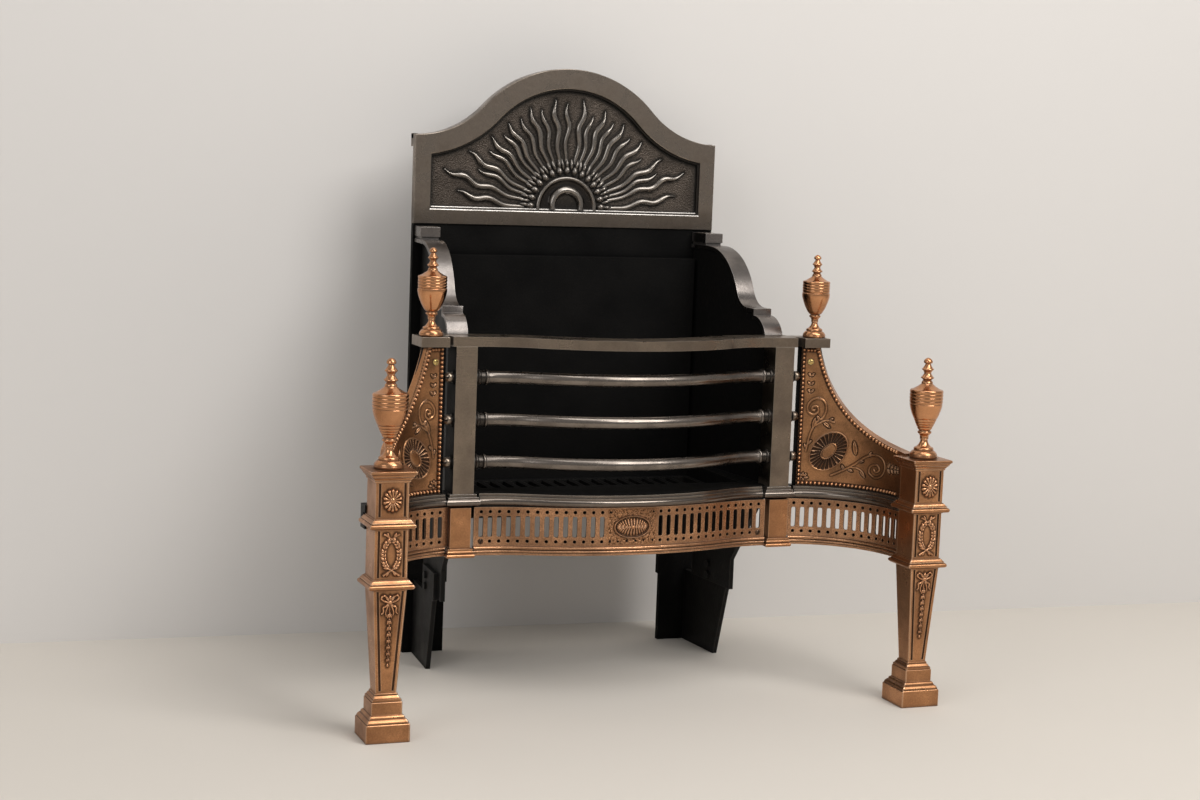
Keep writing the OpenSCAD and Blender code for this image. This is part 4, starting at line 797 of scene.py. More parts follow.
def on_side(v):
    """Drawing (distance along, up, height to the hollow) laid on the bend and its straight end."""
    s, z, h = v[..., 0], v[..., 1], v[..., 2]
    a = np.minimum(s, SIDE_END) / SIDE_R
    run = np.maximum(s - SIDE_END, 0)
    return spread(SIDE_X + (SIDE_R - h) * np.sin(a), SIDE_Y + (SIDE_R - h) * np.cos(a) - run, z)


def sweep_z(s):
    """Height of the swept edge: a hollow superellipse that falls from the rail to the leg's cap."""
    power, low, rise = 3.1, 366, 330
    u = held((SIDE_R * 1.97 - s) / (SIDE_R * 1.634))
    return low + rise - rise * (1 - u ** power) ** (1 / power)


def bend(angle):
    """Distance along the bend at an angle round it."""
    return SIDE_R * radians(angle)


def degrees_z(*places):
    """Chosen points given as (degrees round the bend, height), in millimetres along the bend."""
    return np.array([(bend(a), z) for a, z in places])


VINES = (through(degrees_z((18.9, 352), (20.3, 370), (21.7, 381.4), (23.6, 391.5),
                           (25.5, 397.5), (28.6, 403), (30.4, 413.7), (30.0, 424.5), (26.6, 432),
                           (21.9, 430), (18.9, 420.7), (19.4, 410.9), (22.7, 407.2), (25.6, 412.5),
                           (24.7, 419.6), (22.0, 419), (21.7, 414.5), (23.2, 413.6)), 150),
         through(degrees_z((35.4, 316.5), (43.5, 326.5), (50.5, 337.0), (54.8, 344.7),
                           (58.6, 350.6), (64.9, 354.4), (70.7, 349.8), (73.1, 338.7),
                           (70.7, 325.6), (65.4, 320.4), (60.9, 326.4), (61.6, 336.4),
                           (66.3, 339.8), (68.6, 333.6), (65.9, 329.0), (64.2, 332.4)), 150),
         through(degrees_z((23.0, 389), (26.5, 394.5), (31.0, 399.2), (35.8, 397.2)), 40),
         through(degrees_z((47.0, 331), (52.0, 331), (56.2, 326.0), (57.6, 318.6)), 40))
# Leaves in the ground: foot in degrees and height, heading, length, width
LEAVES = [(22.6, 386.5, 78, 17, 6.0), (29.2, 396.4, -38, 13, 5.4), (32.6, 399, 32, 8, 4),
          (50.9, 350.5, 100, 22, 7.4), (54.5, 327.6, -46, 12, 5.2), (46.0, 328.5, -20, 9, 4.0),
          (43.6, 326.5, 118, 9, 4.0), (19.2, 356, 120, 8, 3.6), (19.8, 363, 40, 8, 3.6),
          (26.8, 398.6, 122, 9, 4.2), (60.6, 351.4, 66, 8, 4), (53.0, 341.6, 10, 9, 4.0)]
LEAVES += [(20.2, z, 90 + side * 42, 6.8, 3.2) for z in (465, 452, 440.5) for side in (-1, 1)]
LEAVES += [(a, 338.6, side * 62, 9.4 - 0.35 * (a - 76), 3.8) for a in (76.0, 79.4, 82.6, 85.6)
           for side in (-1, 1)]
LEAVES += [(17.9 + dx, 311.5 + dz, heading, 6.6, 3.6)
           for dx, dz, heading in ((0.6, 0.0, 0), (-0.1, 1.4, 90), (-0.6, 0.0, 180),
                                   (-0.1, -1.4, 270), (0.4, 1.2, 45), (-0.4, 1.2, 135))]


def line_gap(s, z, line):
    """Shortest distance from each grid point to a line, over its straight stretches."""
    best = np.full(s.shape, 1e9)
    for (ax, az), (bx, bz) in zip(line[:-1], line[1:]):
        dx, dz = bx - ax, bz - az
        t = held(((s - ax) * dx + (z - az) * dz) / max(dx * dx + dz * dz, 1e-9))
        best = np.minimum(best, (s - ax - t * dx) ** 2 + (z - az - t * dz) ** 2)
    return np.sqrt(best)


def spandrel_relief(s, z):
    """Height of the carving: a fluted tilted oval, vines as ridges, leaves as ribbed low domes."""
    h = np.zeros_like(s)
    tilt = radians(OVAL_TILT)
    p, q = s - bend(OVAL_TURN), z - OVAL_Z
    u = (p * cos(tilt) + q * sin(tilt)) / OVAL[0]
    v = (-p * sin(tilt) + q * cos(tilt)) / OVAL[1]
    rho, phi = np.hypot(u, v), np.arctan2(v, u)
    inner = np.hypot(u * OVAL[0] / OVAL_INNER[0], v * OVAL[1] / OVAL_INNER[1])
    span = held((inner - 1) / np.maximum(inner / np.maximum(rho, 1e-6) - 1, 1e-6))
    ribs = held(1 - np.abs(np.sin(13 * phi)) / 0.62) ** 0.7
    cup = np.sin(np.pi * np.clip(span, 0.02, 0.98)) ** 0.45
    h = np.where((rho < 1) & (inner > 1), -1.7 * cup * (1 - ribs) + 0.7 * ribs, h)
    for ring, tall, thick in ((rho, 1.3, 0.036), (inner, 1.6, 0.11)):
        rise = tall * half_round((ring - 1.0) / thick)
        h = np.where(rise > 0, np.maximum(h, rise), h)
    h = np.where(inner < 0.86, 0.7 + 0.7 * half_round(inner / 0.86), h)
    outside = rho > 1.08
    for line, wide, tall in zip(VINES, (1.5, 1.5, 1.2, 1.2), (1.0, 1.0, 0.8, 0.8)):
        gap = line_gap(s, z, line)
        ridge = tall * half_round(gap / wide)
        ditch = -0.28 * held(1 - np.abs(gap - wide - 0.7) / 0.9)
        h = np.where(outside & (gap < wide + 2.0),
                     np.maximum(h, ridge) + np.where(h < 0.3, ditch, 0), h)
    for a, foot_z, heading, length, width in LEAVES:
        c, d = cos(radians(heading)), sin(radians(heading))
        x, y = s - bend(a), z - foot_z
        u, v = (x * c + y * d) / length, (-x * d + y * c) / (width / 2)
        wide = np.clip(np.sin(np.pi * held(u) ** 0.8), 0.001, 1)
        body = np.where((u > 0) & (u < 1), 1 - (v / wide) ** 2, -1)
        rise = 1.3 * np.sqrt(held(body)) - 1.2 * np.exp(-(v / 0.30) ** 2) * (body > 0)
        near = np.hypot((u - 0.5) * length / (length / 2 + 1.6),
                        v * (width / 2) / (width / 2 + 1.6))
        ditch = -0.4 * ((near < 1) & (body <= 0))
        h = np.where(outside & (body > 0), np.maximum(h, 0) * 0.2 + rise,
                     np.where(outside & (h <= 0.05), h + ditch, h))
    return h


def swept_line(inset):
    """The swept edge moved in square to itself."""
    s = np.linspace(bend(22.2), bend(84.5), 160)
    edge = spread(s, sweep_z(s))
    line = moved_square(edge, inset)
    return line[line[:, 1] < SPAN_TOP - 4]


PEARL_LINES = (swept_line(3.4), degrees_z((14.75, 309.5), (14.75, 505)),
               degrees_z((14.75, 303.2), (85.0, 303.2)), degrees_z((17.4, 504.6), (21.6, 504.6)))


def blurred(h, radius):
    """Box blur, twice each way, by running sums."""
    for axis in (0, 1, 0, 1):
        size = h.shape[axis]
        padded = np.take(h, np.clip(np.arange(-radius - 1, size + radius), 0, size - 1), axis)
        run = np.cumsum(padded, axis)
        n = 2 * radius + 1
        h = (np.take(run, np.arange(n, run.shape[axis]), axis)
             - np.take(run, np.arange(0, run.shape[axis] - n), axis)) / n
    return h


def spandrel_sheet():
    """Curved plate whose front carries the carving, and the same grid of dirt and painted shade in
    its hollows.
    """
    s = np.linspace(bend(13.5), SPAN_S1, 290)
    top = np.minimum(sweep_z(s), SPAN_TOP)
    t = np.linspace(0, 1, 250)
    z = SPAN_Z0 + (top[:, None] - SPAN_Z0) * t
    flat = np.repeat(s[:, None], len(t), 1)
    h = spandrel_relief(flat, z)
    beside = gap_to(spread(flat, z), np.vstack([evenly(line, 1.5) for line in PEARL_LINES]))
    screw = np.hypot(flat - bend(SCREW_TURN), z - SCREW_Z)
    # Dirt and painted shade in the carving's hollows; painted shade beside the pearls, round the
    # screw and low towards the far end
    dirt_and_shade = held((blurred(h, 4) - h) * 1.5 + held(-h) * 1.1)
    dirt_and_shade = held(dirt_and_shade + 0.95 * held((4.1 - beside) / 0.8) + held((5.2 - screw) / 0.8)
                + 0.5 * held((330 - z) / 26) * held((flat - 95) / 70))
    front = on_side(spread(flat, z, h))
    coarse = np.linspace(0, len(t) - 1, 6).astype(int)
    back = on_side(spread(flat, z, -4.0))[:, coarse]
    worn_and_shaded = np.concatenate((np.concatenate((dirt_and_shade, np.zeros((len(s), len(coarse)))), 1).ravel(),
                           (0, 0)))
    return slab(front, back), worn_and_shaded


def spandrel_flange():
    """Flange that runs back from the swept edge, between the edge and its inward offset."""
    s = np.linspace(bend(21.9), SPAN_S1, 120)
    edge = spread(s, np.minimum(sweep_z(s), SPAN_TOP))
    inside = moved_square(edge, 3.5)
    loop = [(edge, 0.9), (edge, -14), (inside, -14), (inside, 0.9)]
    rows = np.array([spread(*line.T, h) for line, h in loop])
    return closed(on_side(rows.transpose(1, 0, 2)))


def pearl_rows():
    """Pearls at one pitch inside the swept edge, up the inner edge and along the foot."""
    places = np.vstack([evenly(line, 6.4) for line in PEARL_LINES])
    return [dome(p, 5.8, 5.8, 4.0, rings=5, steps=12) for p in places]


def iron_strip():
    """Edge of the iron backing, which shows beside the copper: an upright strip of the bend."""
    s = np.radians((11.4, 12.4, 13.4)) * SIDE_R
    rows = np.array([[(a, z, h) for z, h in ((299, -2.2), (509, -2.2), (509, -6.4), (299, -6.4))]
                     for a in s])
    return closed(on_side(rows))


sheet_skin, sheet_dirt_and_shade = spandrel_sheet()
pairs(("spandrel_plate", [sheet_skin],
       CHASED, "copper", ["spandrel"], dict(crease=50, dirt_and_shade=sheet_dirt_and_shade)),
      ("spandrel_flange", [spandrel_flange()], COPPER, "copper", [], dict(crease=35)),
      ("spandrel_pearls", laid(pearl_rows(), on_side), RAISED, "copper", [], dict(crease=60)),
      ("backing_edge", [iron_strip()], SOOT, "iron", [], dict(crease=40)))


# --- front legs --------------------------------------------------------------------------------

# Axis of the leg, half widths of its blocks and of its ankle, and the feet of its two belts
LEG_X, BLOCK, ANKLE, BELTS = 400.0, 22.75, 14.3, (204.5, 285.5)
# Heights that the ornaments of the two blocks are counted from
PATERA_Z, WREATH_Z = 324.5, 252.5


def taper(z):
    """Half width of the leg at a height between the foot and the lower belt."""
    return ANKLE + (z - 65) * (BLOCK - ANKLE) / 139.5


def leg_belt(z):
    """Half widths up a belt: undercut, full round nose, quirk, hollow slope, fillet."""
    nose = [(z + 5.0 + 3.3 * sin(radians(a)), 28.1 + 3.4 * cos(radians(a)))
            for a in range(-84, 85, 14)]
    return ([(z, 22.8), (z + 0.2, 24.0), (z + 1.3, 24.3), (z + 1.5, 27.6)] + nose
            + [(z + 8.4, 27.4), (z + 8.9, 27.4), (z + 9.0, 28.8), (z + 9.9, 28.5), (z + 11.0, 27.4),
               (z + 12.2, 26.4), (z + 13.3, 25.9), (z + 13.4, 24.5), (z + 14.7, 24.2),
               (z + 14.9, 22.8)])


def leg_rows():
    """Half widths up the leg, with the depth of the two grooves of the front where they run."""
    foot = [(0.0, 29.5), (0.7, 30.2), (24.2, 30.2), (25.0, 29.6), (25.2, 28.9), (26.8, 28.7),
            (28.6, 27.9), (30.4, 26.4), (31.4, 25.2), (31.6, 24.6), (33.0, 24.4), (34.6, 23.6),
            (35.6, 22.5), (36.0, 21.5), (36.6, 21.2), (52.8, 21.2), (53.4, 20.7), (53.6, 19.9),
            (54.2, 20.2), (55.4, 20.3), (56.8, 20.0), (57.4, 19.2), (57.6, 18.6), (58.8, 18.2),
            (60.2, 17.2), (61.2, 16.4), (61.4, 15.9), (63.6, 15.8), (64.2, 15.2), (64.5, 14.4)]
    cap = [(348.5, 22.8), (348.6, 24.2), (350.5, 24.4), (350.6, 23.6), (351.2, 23.6), (351.3, 25.0),
           (352.6, 25.4), (353.8, 26.4), (354.7, 27.6), (355.2, 27.9), (355.3, 26.9), (355.9, 26.9),
           (356.0, 28.5), (357.2, 28.7), (358.3, 29.4), (359.0, 30.2), (359.1, 29.5), (359.5, 29.5),
           (359.6, 31.0), (360.2, 31.5), (362.4, 31.5), (363.1, 31.2), (363.5, 30.4)]
    rows = [(z, w, 0) for z, w in foot]
    for z0, z1, over in ((65.0, 204.3, leg_belt(BELTS[0])), (219.6, 285.3, leg_belt(BELTS[1])),
                         (300.6, 348.3, cap)):
        between = [(z0 + (z1 - z0) * k / 8, 1) for k in range(1, 8)]
        marks = [(z0, 0), (z0 + 2.0, 0), (z0 + 2.05, 1), *between, (z1 - 1.05, 1), (z1 - 1.0, 0),
                 (z1, 0)]
        rows += [(z, taper(z) if z < BELTS[0] else BLOCK, groove) for z, groove in marks]
        rows += [(z, w, 0) for z, w in over]
    return np.array(rows)


def leg_shaft():
    """Square section with round corners up the half widths; its front dips in two strips."""
    rows = leg_rows()
    z, w, g = rows[:, 0], rows[:, 1], rows[:, 2]
    corner = 0.9
    inset = np.array([corner, 4.0, 4.4, 6.8, 7.2])
    dip = np.array([0, 0, 1.4, 1.4, 0])
    loop = []
    for quarter in range(4):
        c, s = cos(quarter * pi / 2), sin(quarter * pi / 2)
        front = quarter == 0
        for k, d in enumerate(inset):
            loop.append((-(w - d), w - dip[k] * g * front, c, s, front * (dip[k] > 0) * g))
        loop.append((0 * w, w, c, s, 0 * g))
        for k, d in list(enumerate(inset))[::-1]:
            loop.append((w - d, w - dip[k] * g * front, c, s, front * (dip[k] > 0) * g))
        for a in (22.5, 45, 67.5):
            flat = w - corner
            loop.append((flat + corner * sin(radians(a)), flat + corner * cos(radians(a)), c, s,
                         0 * g))
    sides = [spread(LEG_X + p * c - q * s, -(p * s + q * c), z) for p, q, c, s, d in loop]
    # Painted shade in the two grooves of the front and in the quirks of the mouldings
    dirt_and_shade = np.stack([d for p, q, c, s, d in loop], 1)
    dark = np.isclose(z[:, None],
                      [25.2, 31.4, 36.0, 53.6, 57.4, 61.4, 350.6, 351.2, 355.3, 355.9, 359.1, 359.5]
                      + [k + d for k in BELTS for d in (0.2, 1.3, 8.4, 8.9)], atol=0.02).any(1)
    dirt_and_shade = np.maximum(dirt_and_shade, 0.85 * dark[:, None])
    return [closed(np.stack(sides, 1))], np.concatenate((dirt_and_shade.ravel(), (0, 0)))


def on_leg(z0, tapered=False):
    """Rule that lays a drawing on the leg's front about a height; the face of the taper leans."""
    def where(v):
        """A drawing's points (across, up, height) on the leg."""
        z = z0 + v[:, 1]
        face = taper(z) if tapered else BLOCK
        return spread(LEG_X + v[:, 0], -face - v[:, 2], z)
    return where


def leg_ground(drawn, foot, head, tapered=False):
    """Thin sheet between the two grooves, with painted shade that fades away from the ornament."""
    up = np.linspace(foot, head, int((head - foot) / 0.8))
    half = (taper(up) if tapered else np.full_like(up, BLOCK)) - 7.4
    u = np.linspace(-1, 1, 45)
    flat = spread(half[:, None] * u, up[:, None])
    gap = gap_to(flat, shadow_cloud(drawn, 2))
    # Painted shade about the ornament, fading away from it
    dirt_and_shade = 0.95 * held(1.15 - gap / 3.0) * np.clip((half[:, None] * (1 - np.abs(u)) + 0.4) / 1.2,
                                                   0.25, 1)
    rise = np.full(flat.shape[:2], 0.06)
    rise[[0, -1]], rise[:, [0, -1]] = -0.4, -0.4
    return skin(np.concatenate((flat, rise[..., None]), -1)), dirt_and_shade.ravel()


def leg_patera():
    """Fourteen full round-ended petals about a boss."""
    made = [dome((0, 0), 9.0, 10.2, 4.4, rings=6)]
    for k in range(14):
        a = 2 * pi * (k + 0.5) / 14
        t = np.linspace(0.24, 1, 10)[:, None]
        line = t * np.array([13.6 * cos(a), 15.9 * sin(a)])
        t = t[:, 0]
        end = np.sqrt(np.clip(1 - (held(t - 0.80) / 0.205) ** 2, 0.02, 1))
        made.append(blade(line, (1.5 + 4.7 * t) * end,
                          (1.6 + 2.6 * np.sin(np.pi * held(t - 0.1) * 0.85)) * end, sides=9))
    return made


def band(side, points, count, width, height):
    """A blade along a smooth line through points on one side, its width running between two."""
    return blade(through(np.array(points) * (side, 1), count), np.linspace(*width, count), height)


def leg_wreath():
    """Two leafy branches bent into an oval, crossed below and above."""
    made = []
    for side in (-1, 1):
        a = np.radians(np.linspace(-76, 74, 40))
        line = spread(side * 10.2 * np.cos(a), 18.6 * np.sin(a))
        made.append(blade(line, 2.0, 1.6, sides=5))
        for k, m in enumerate(np.linspace(0, 35, 9).astype(int)):
            d = line[m + 2] - line[m]
            heading = degrees(atan2(d[1], d[0]))
            made.append(leaf(line[m], heading - side * 36, 8.2, 4.6, 3.4, bend=side * 0.14,
                             steps=8))
            made.append(leaf(line[m], heading + side * 38, 6.2, 3.7, 2.8, bend=-side * 0.12,
                             steps=8))
            if k % 2:
                made.append(dome(line[m] + (side * 2.2, 2.2), 3.6, 3.6, 3.8, rings=4, steps=10))
        made.append(band(side, [(-11.0, -28.0), (-6, -24.6), (1, -20.0), (6.4, -17.4)], 14,
                         (4.0, 2.2), 2.6))
        made.append(leaf((side * 3.0, -22.0), 270 + side * 26, 8.6, 4.0, 2.6, steps=8))
        made.append(band(side, [(-10.8, 27.4), (-6, 25.0), (0, 20.8), (6.4, 16.8)], 14, (3.4, 2.2),
                         2.4))
        made.append(leaf((side * 3.2, 23.6), 90 - side * 30, 7.4, 3.8, 2.6, steps=8))
    return made


def leg_ribbon():
    """Bow with a boss, two loops and waving ends, and a falling chain of husks down to a drop."""
    made = [dome((0, 189.0), 7.4, 7.4, 4.8, rings=6), leaf((0, 191), 90, 8.6, 5.0, 3.6, steps=8)]
    for side in (-1, 1):
        made.append(band(side, [(1.2, 190), (4.2, 195.6), (9.2, 198.2), (12.0, 194.6), (9.0, 191.4),
                                (5.2, 189.6), (1.2, 188.4)], 30, (3.2, 3.2), 2.9))
        made.append(leaf((side * 2.2, 190.6), 90 - side * 28, 8.2, 4.2, 3.2, steps=8))
        made.append(band(side, [(1.2, 187.4), (4.8, 183.6), (8.8, 182.0), (8.4, 176.2),
                                (11.0, 172.8)], 24, (3.6, 2.2), 2.4))
        made.append(band(side, [(1, 187), (4.0, 180), (5.4, 175.0), (4.2, 169.6)], 18, (3.0, 1.8),
                         2.1))
    made.append(blade(np.array([(0, 187.0), (0, 150.0), (0, 108.0)]), (2.4, 1.7, 1.2), 1.8,
                      sides=5))
    for k in range(8):
        z, size = 173.0 - 8.8 * k, 0.86 - 0.04 * k
        made.append(dome((0, z + 1.4), 4.0 * size, 3.6 * size, 3.6, rings=5, steps=12))
        made.append(leaf((0, z + 0.6), 270, 8.6 * size, 3.8 * size, 3.0, steps=8))
        for side in (-1, 1):
            made.append(leaf((side * 0.6, z + 0.6), 270 + side * 34, 8.6 * size, 4.0 * size, 2.9,
                             bend=-side * 0.24, steps=8))
    made.append(dome((0, 102.4), 3.4, 5.4, 2.6, rings=5, steps=12))
    return made


PATERA, WREATH, RIBBON = leg_patera(), leg_wreath(), leg_ribbon()
on_upper, on_lower, on_taper = on_leg(PATERA_Z), on_leg(WREATH_Z), on_leg(0, tapered=True)
mounts = laid(PATERA, on_upper) + laid(WREATH, on_lower) + laid(RIBBON, on_taper)
grounds = [(leg_ground(PATERA, -21.9, 22.8), on_upper), (leg_ground(WREATH, -30.9, 31.8), on_lower),
           (leg_ground(RIBBON, 67.2, 203.2, tapered=True), on_taper)]
panels = [laid([sheet], where)[0] for (sheet, dirt_and_shade), where in grounds]
panel_shade = np.concatenate([dirt_and_shade for (sheet, dirt_and_shade), where in grounds])
shaft, shaft_shade = leg_shaft()
pairs(("leg_shaft", shaft, COPPER, "copper", ["leg"], dict(crease=24, dirt_and_shade=shaft_shade)),
      ("leg_panels", panels, COPPER, "copper", [], dict(crease=24, dirt_and_shade=panel_shade)),
      ("leg_ornaments", mounts, RAISED, "copper", ["leg_mounts"], dict(crease=60)))


# --- frets -------------------------------------------------------------------------------------

# Plan of the middle fret: depth of its ends, bow, half width, where its curve turns, plate's end
FRET_Y, FRET_BOW, BOW_HALF, BOW_TURN, PLATE_END = 163.0, 36.0, 226.0, 150.0, 228.5
# Height of the slots' middles, and of the two rows of dots
SLOT_Z, DOTS_Z = 251.0, (229.6, 272.4)


def bow_line(x, back):
    """Plan of the middle fret at x, moved back square to itself: round, reversed, then plain."""
    turn = 2 * atan(FRET_BOW / BOW_HALF)
    mid, end = BOW_TURN / sin(turn), (BOW_HALF - BOW_TURN) / sin(turn)
    side, ax = np.sign(x), np.abs(x)
    short = BOW_HALF - ax
    heading = np.arcsin(np.where(ax < BOW_TURN, np.clip(ax / mid, -1, 1), held(short / end)))
    y = np.where(ax < BOW_TURN,
                 FRET_Y - FRET_BOW + mid - np.sqrt(np.maximum(mid ** 2 - ax ** 2, 0)),
                 np.where(short > 0, FRET_Y - end + np.sqrt(np.maximum(end ** 2 - short ** 2, 0)),
                          FRET_Y))
    return x - side * back * np.sin(heading), y + back * np.cos(heading)


def bow_strip(half, section):
    """A closed section of (forward, up) carried along the bow of the middle fret."""
    x = np.linspace(-half, half, 161)
    return closed(np.stack([spread(*bow_line(x, -forward), up) for forward, up in section], 1))


def side_strip(a0, section):
    """The same section carried round the quarter bend and on to the back of the leg."""
    s = np.concatenate((np.linspace(bend(a0), SIDE_END, 61), [SPAN_S1]))
    rows = [[(a, up, forward) for forward, up in section] for a in s]
    return closed(on_side(np.array(rows)))


def oval_form(w, h, section, steps=72):
    """Closed form: an oval that grows and shrinks by a section of (share of the oval, height)."""
    a = circle(steps)
    share, up = np.array(section)[:, :1], np.array(section)[:, 1:]
    return closed(spread(w / 2 * share * np.cos(a), h / 2 * share * np.sin(a), up))


def petal_ring(count, w, h, rise, length, wide, tall, shift=0.0):
    """Petals about an oval, each headed out square to it, their tips on the oval."""
    made = []
    for a in 2 * np.pi * (np.arange(count) + shift) / count:
        out = np.array([cos(a) / w, sin(a) / h])
        out /= np.hypot(*out)
        tip = np.array([w / 2 * cos(a), h / 2 * sin(a)])
        v, q, f = leaf(tip - out * length, degrees(atan2(out[1], out[0])), length, wide, tall,
                       steps=8)
        made.append((v + (0, 0, rise), q, f))
    return made


def fret_oval():
    """Oval dish with a round rim and darkened ground, filled by four rings of petals about a boss.
    """
    dish = oval_form(57.0, 33.0, [(1.0, -0.4), (0.998, 1.6), (0.985, 2.6), (0.962, 3.1),
                                  (0.935, 3.0), (0.915, 2.3), (0.90, 1.1), (0.87, 0.7), (0.62, 0.8),
                                  (0.50, 1.8), (0.3, 2.6), (0.02, 2.8)])
    dirt_and_shade = np.repeat([0, 0, 0, 0, 0, 0.6, 1.0, 1.0, 0.95, 0.9, 0.9, 0.9], 72)
    rings = ((30, 49.0, 26.4, 0.6, 7.6, 3.5, 2.8), (24, 38.0, 20.6, 1.0, 7.0, 3.3, 3.0, 0.5),
             (18, 27.0, 14.8, 1.9, 6.4, 3.2, 2.8), (12, 17.0, 9.6, 2.5, 5.4, 2.8, 2.6, 0.5))
    made = [petal for ring in rings for petal in petal_ring(*ring)]
    made.append(oval_form(7.6, 5.4, [(1, 2.0), (0.97, 4.4), (0.8, 5.6), (0.45, 6.2), (0.02, 6.4)],
                          16))
    return [dish], np.concatenate((dirt_and_shade, (0, 0.9))), made


def chased_ground():
    """Punched ground beside the oval: hollows and ridges of two seeded fields, coarse and fine."""
    half, tall = 38.5, 27.5
    x, z = np.linspace(-half, half, 200), np.linspace(-tall, tall, 142)
    field = np.random.default_rng(11)
    coarse, fine = field.random((34, 56)), field.random((70, 112))

    def drawn_out(grid):
        """A coarse grid read at each point: a straight mean of the four values round it."""
        rows = np.linspace(0, grid.shape[0] - 1.001, len(z))
        columns = np.linspace(0, grid.shape[1] - 1.001, len(x))
        r, c = rows.astype(int), columns.astype(int)
        fr, fc = (rows - r)[:, None], (columns - c)[None]
        top = grid[r][:, c] * (1 - fc) + grid[r][:, c + 1] * fc
        low = grid[r + 1][:, c] * (1 - fc) + grid[r + 1][:, c + 1] * fc
        return (top * (1 - fr) + low * fr).T

    rough = 0.6 * drawn_out(coarse) + 0.4 * drawn_out(fine)
    flat = np.stack(np.meshgrid(x, z, indexing="ij"), -1)
    edge = held(np.minimum(half - np.abs(flat[..., 0]), tall - np.abs(flat[..., 1])) / 2.5)
    height = 0.05 + 0.75 * held((rough - 0.36) / 0.34) * edge
    height[[0, -1]], height[:, [0, -1]] = -0.4, -0.4
    dirt_and_shade = np.clip(1.1 - (rough - 0.28) / 0.22, 0, 0.9) * edge
    return [skin(np.concatenate((flat, height[..., None]), -1))], dirt_and_shade.ravel()


def up_fret(v):
    """Drawing (across, up, height) laid on the bowed fret, its heights counted from the floor."""
    x, y = bow_line(v[..., 0], -v[..., 2])
    return spread(x, y, v[..., 1])


def on_fret(v):
    """Drawing laid on the bowed fret, its heights counted from the middle of the slots."""
    return up_fret(v + (0, SLOT_Z, 0))


# Rows of holes from the reeds up: lower and upper edge, width, height, middle, power, points up
HOLE_ROWS = ((222.6, 234.3, 4.7, 4.7, DOTS_Z[0], 2, 6), (234.3, 267.7, 6.6, 30.0, SLOT_Z, 7, 14),
             (267.7, 279.0, 4.7, 4.7, DOTS_Z[1], 2, 6))
# Thickness of the fret plate, and depth of the strips that close its dots from behind
PLATE, BACK = 3.4, 5.0


def pierced_cell(x, half, low, high, wide, tall, middle, power, up, across=8):
    """Plate about one hole: a square outline and a superellipse of as many points."""
    a, b = np.linspace(-1, 1, across, endpoint=False), np.linspace(-1, 1, up, endpoint=False)
    u = np.concatenate((a, np.full(up, 1.0), -a, np.full(up, -1.0)))
    v = np.concatenate((np.full(across, -1.0), b, np.full(across, 1.0), -b))
    k = (np.abs(u) ** power + np.abs(v) ** power) ** (-1 / power)
    outer = spread(x + half * u, (low + high) / 2 + (high - low) / 2 * v)
    rim, wall = (spread(x + (wide / 2 + c) * k * u, middle + (tall / 2 + c) * k * v)
                 for c in (0.35, 0.0))
    rows = ((outer, 0), (rim, 0), (wall, -0.35), (wall, -PLATE), (outer, -PLATE))
    return skin([spread(*line.T, h) for line, h in rows], round_columns=True)


def pierced_plate(holes, half, plain):
    """Fret plate: three cells over each other at each hole, plain stretches, and closed edges."""
    marks = [np.linspace(low, high, n + 1) for low, high, *_, n in HOLE_ROWS]
    up = np.unique(np.concatenate(marks).round(6))
    made = [pierced_cell(x, half, *row) for x in holes for row in HOLE_ROWS]
    across = [x + half * np.linspace(-1, 1, 9) for x in holes]
    for x0, x1 in plain:
        x = np.linspace(x0, x1, max(2, int((x1 - x0) / 2) + 1))
        across.append(x)
        made += [skin(spread(x[:, None], up, h)) for h in (0.0, -PLATE)]
    x = np.concatenate(across)
    x = np.sort(x)[np.concatenate(([True], np.diff(np.sort(x)) > 1e-4))]
    depth = np.array([[0.0], [-PLATE]])
    return (made + [skin(spread(x, z, depth)) for z in (up[0], up[-1])]
            + [skin(spread(edge, up, depth)) for edge in (x[0], x[-1])])


def sooty_inside(plate, strip):
    """Soil of a fret: all that lies behind its face, and none on the moulding under it."""
    return np.concatenate([(v[:, 2] < -0.2).astype(float) for v, *_ in plate]
                          + [np.zeros(len(strip[0]))])


def reeds():
    """Section (forward, up) of the moulding under a fret: plain foot, a small and a large reed."""
    def reed(forward, up, r):
        """Round nose of a radius about a point, from steeply down to steeply up."""
        return [(forward + r * cos(radians(a)), up + r * sin(radians(a)))
                for a in range(-80, 81, 16)]

    return ([(-BACK, 209.5), (1.6, 209.5), (2.1, 209.9), (2.1, 212.5), (0.4, 212.7)]
            + reed(0.9, 214.9, 2.0) + [(0.3, 217.1)] + reed(0.5, 219.8, 2.5)
            + [(0.0, 222.4), (-BACK, 222.4)])


def slotted_head(r, height, heading):
    """Round screw head, a low dome with a slot across it at a heading, the slot dark with painted
    shade.
    """
    share = np.array([0.02, 0.12, 0.3, 0.5, 0.7, 0.85, 0.95, 1.0, 1.0])[::-1, None]
    a = circle(64)
    x, z = r * share * np.cos(a), r * share * np.sin(a)
    across = np.abs(-x * sin(radians(heading)) + z * cos(radians(heading)))
    slot = across < r * 0.18
    up = np.where(slot, 0.15, height * np.sqrt(held(1.06 - share ** 2)) + 0 * a)
    up[0] = -0.4
    return closed(spread(x, z, up)), np.append(slot.ravel(), (0, 1.0))


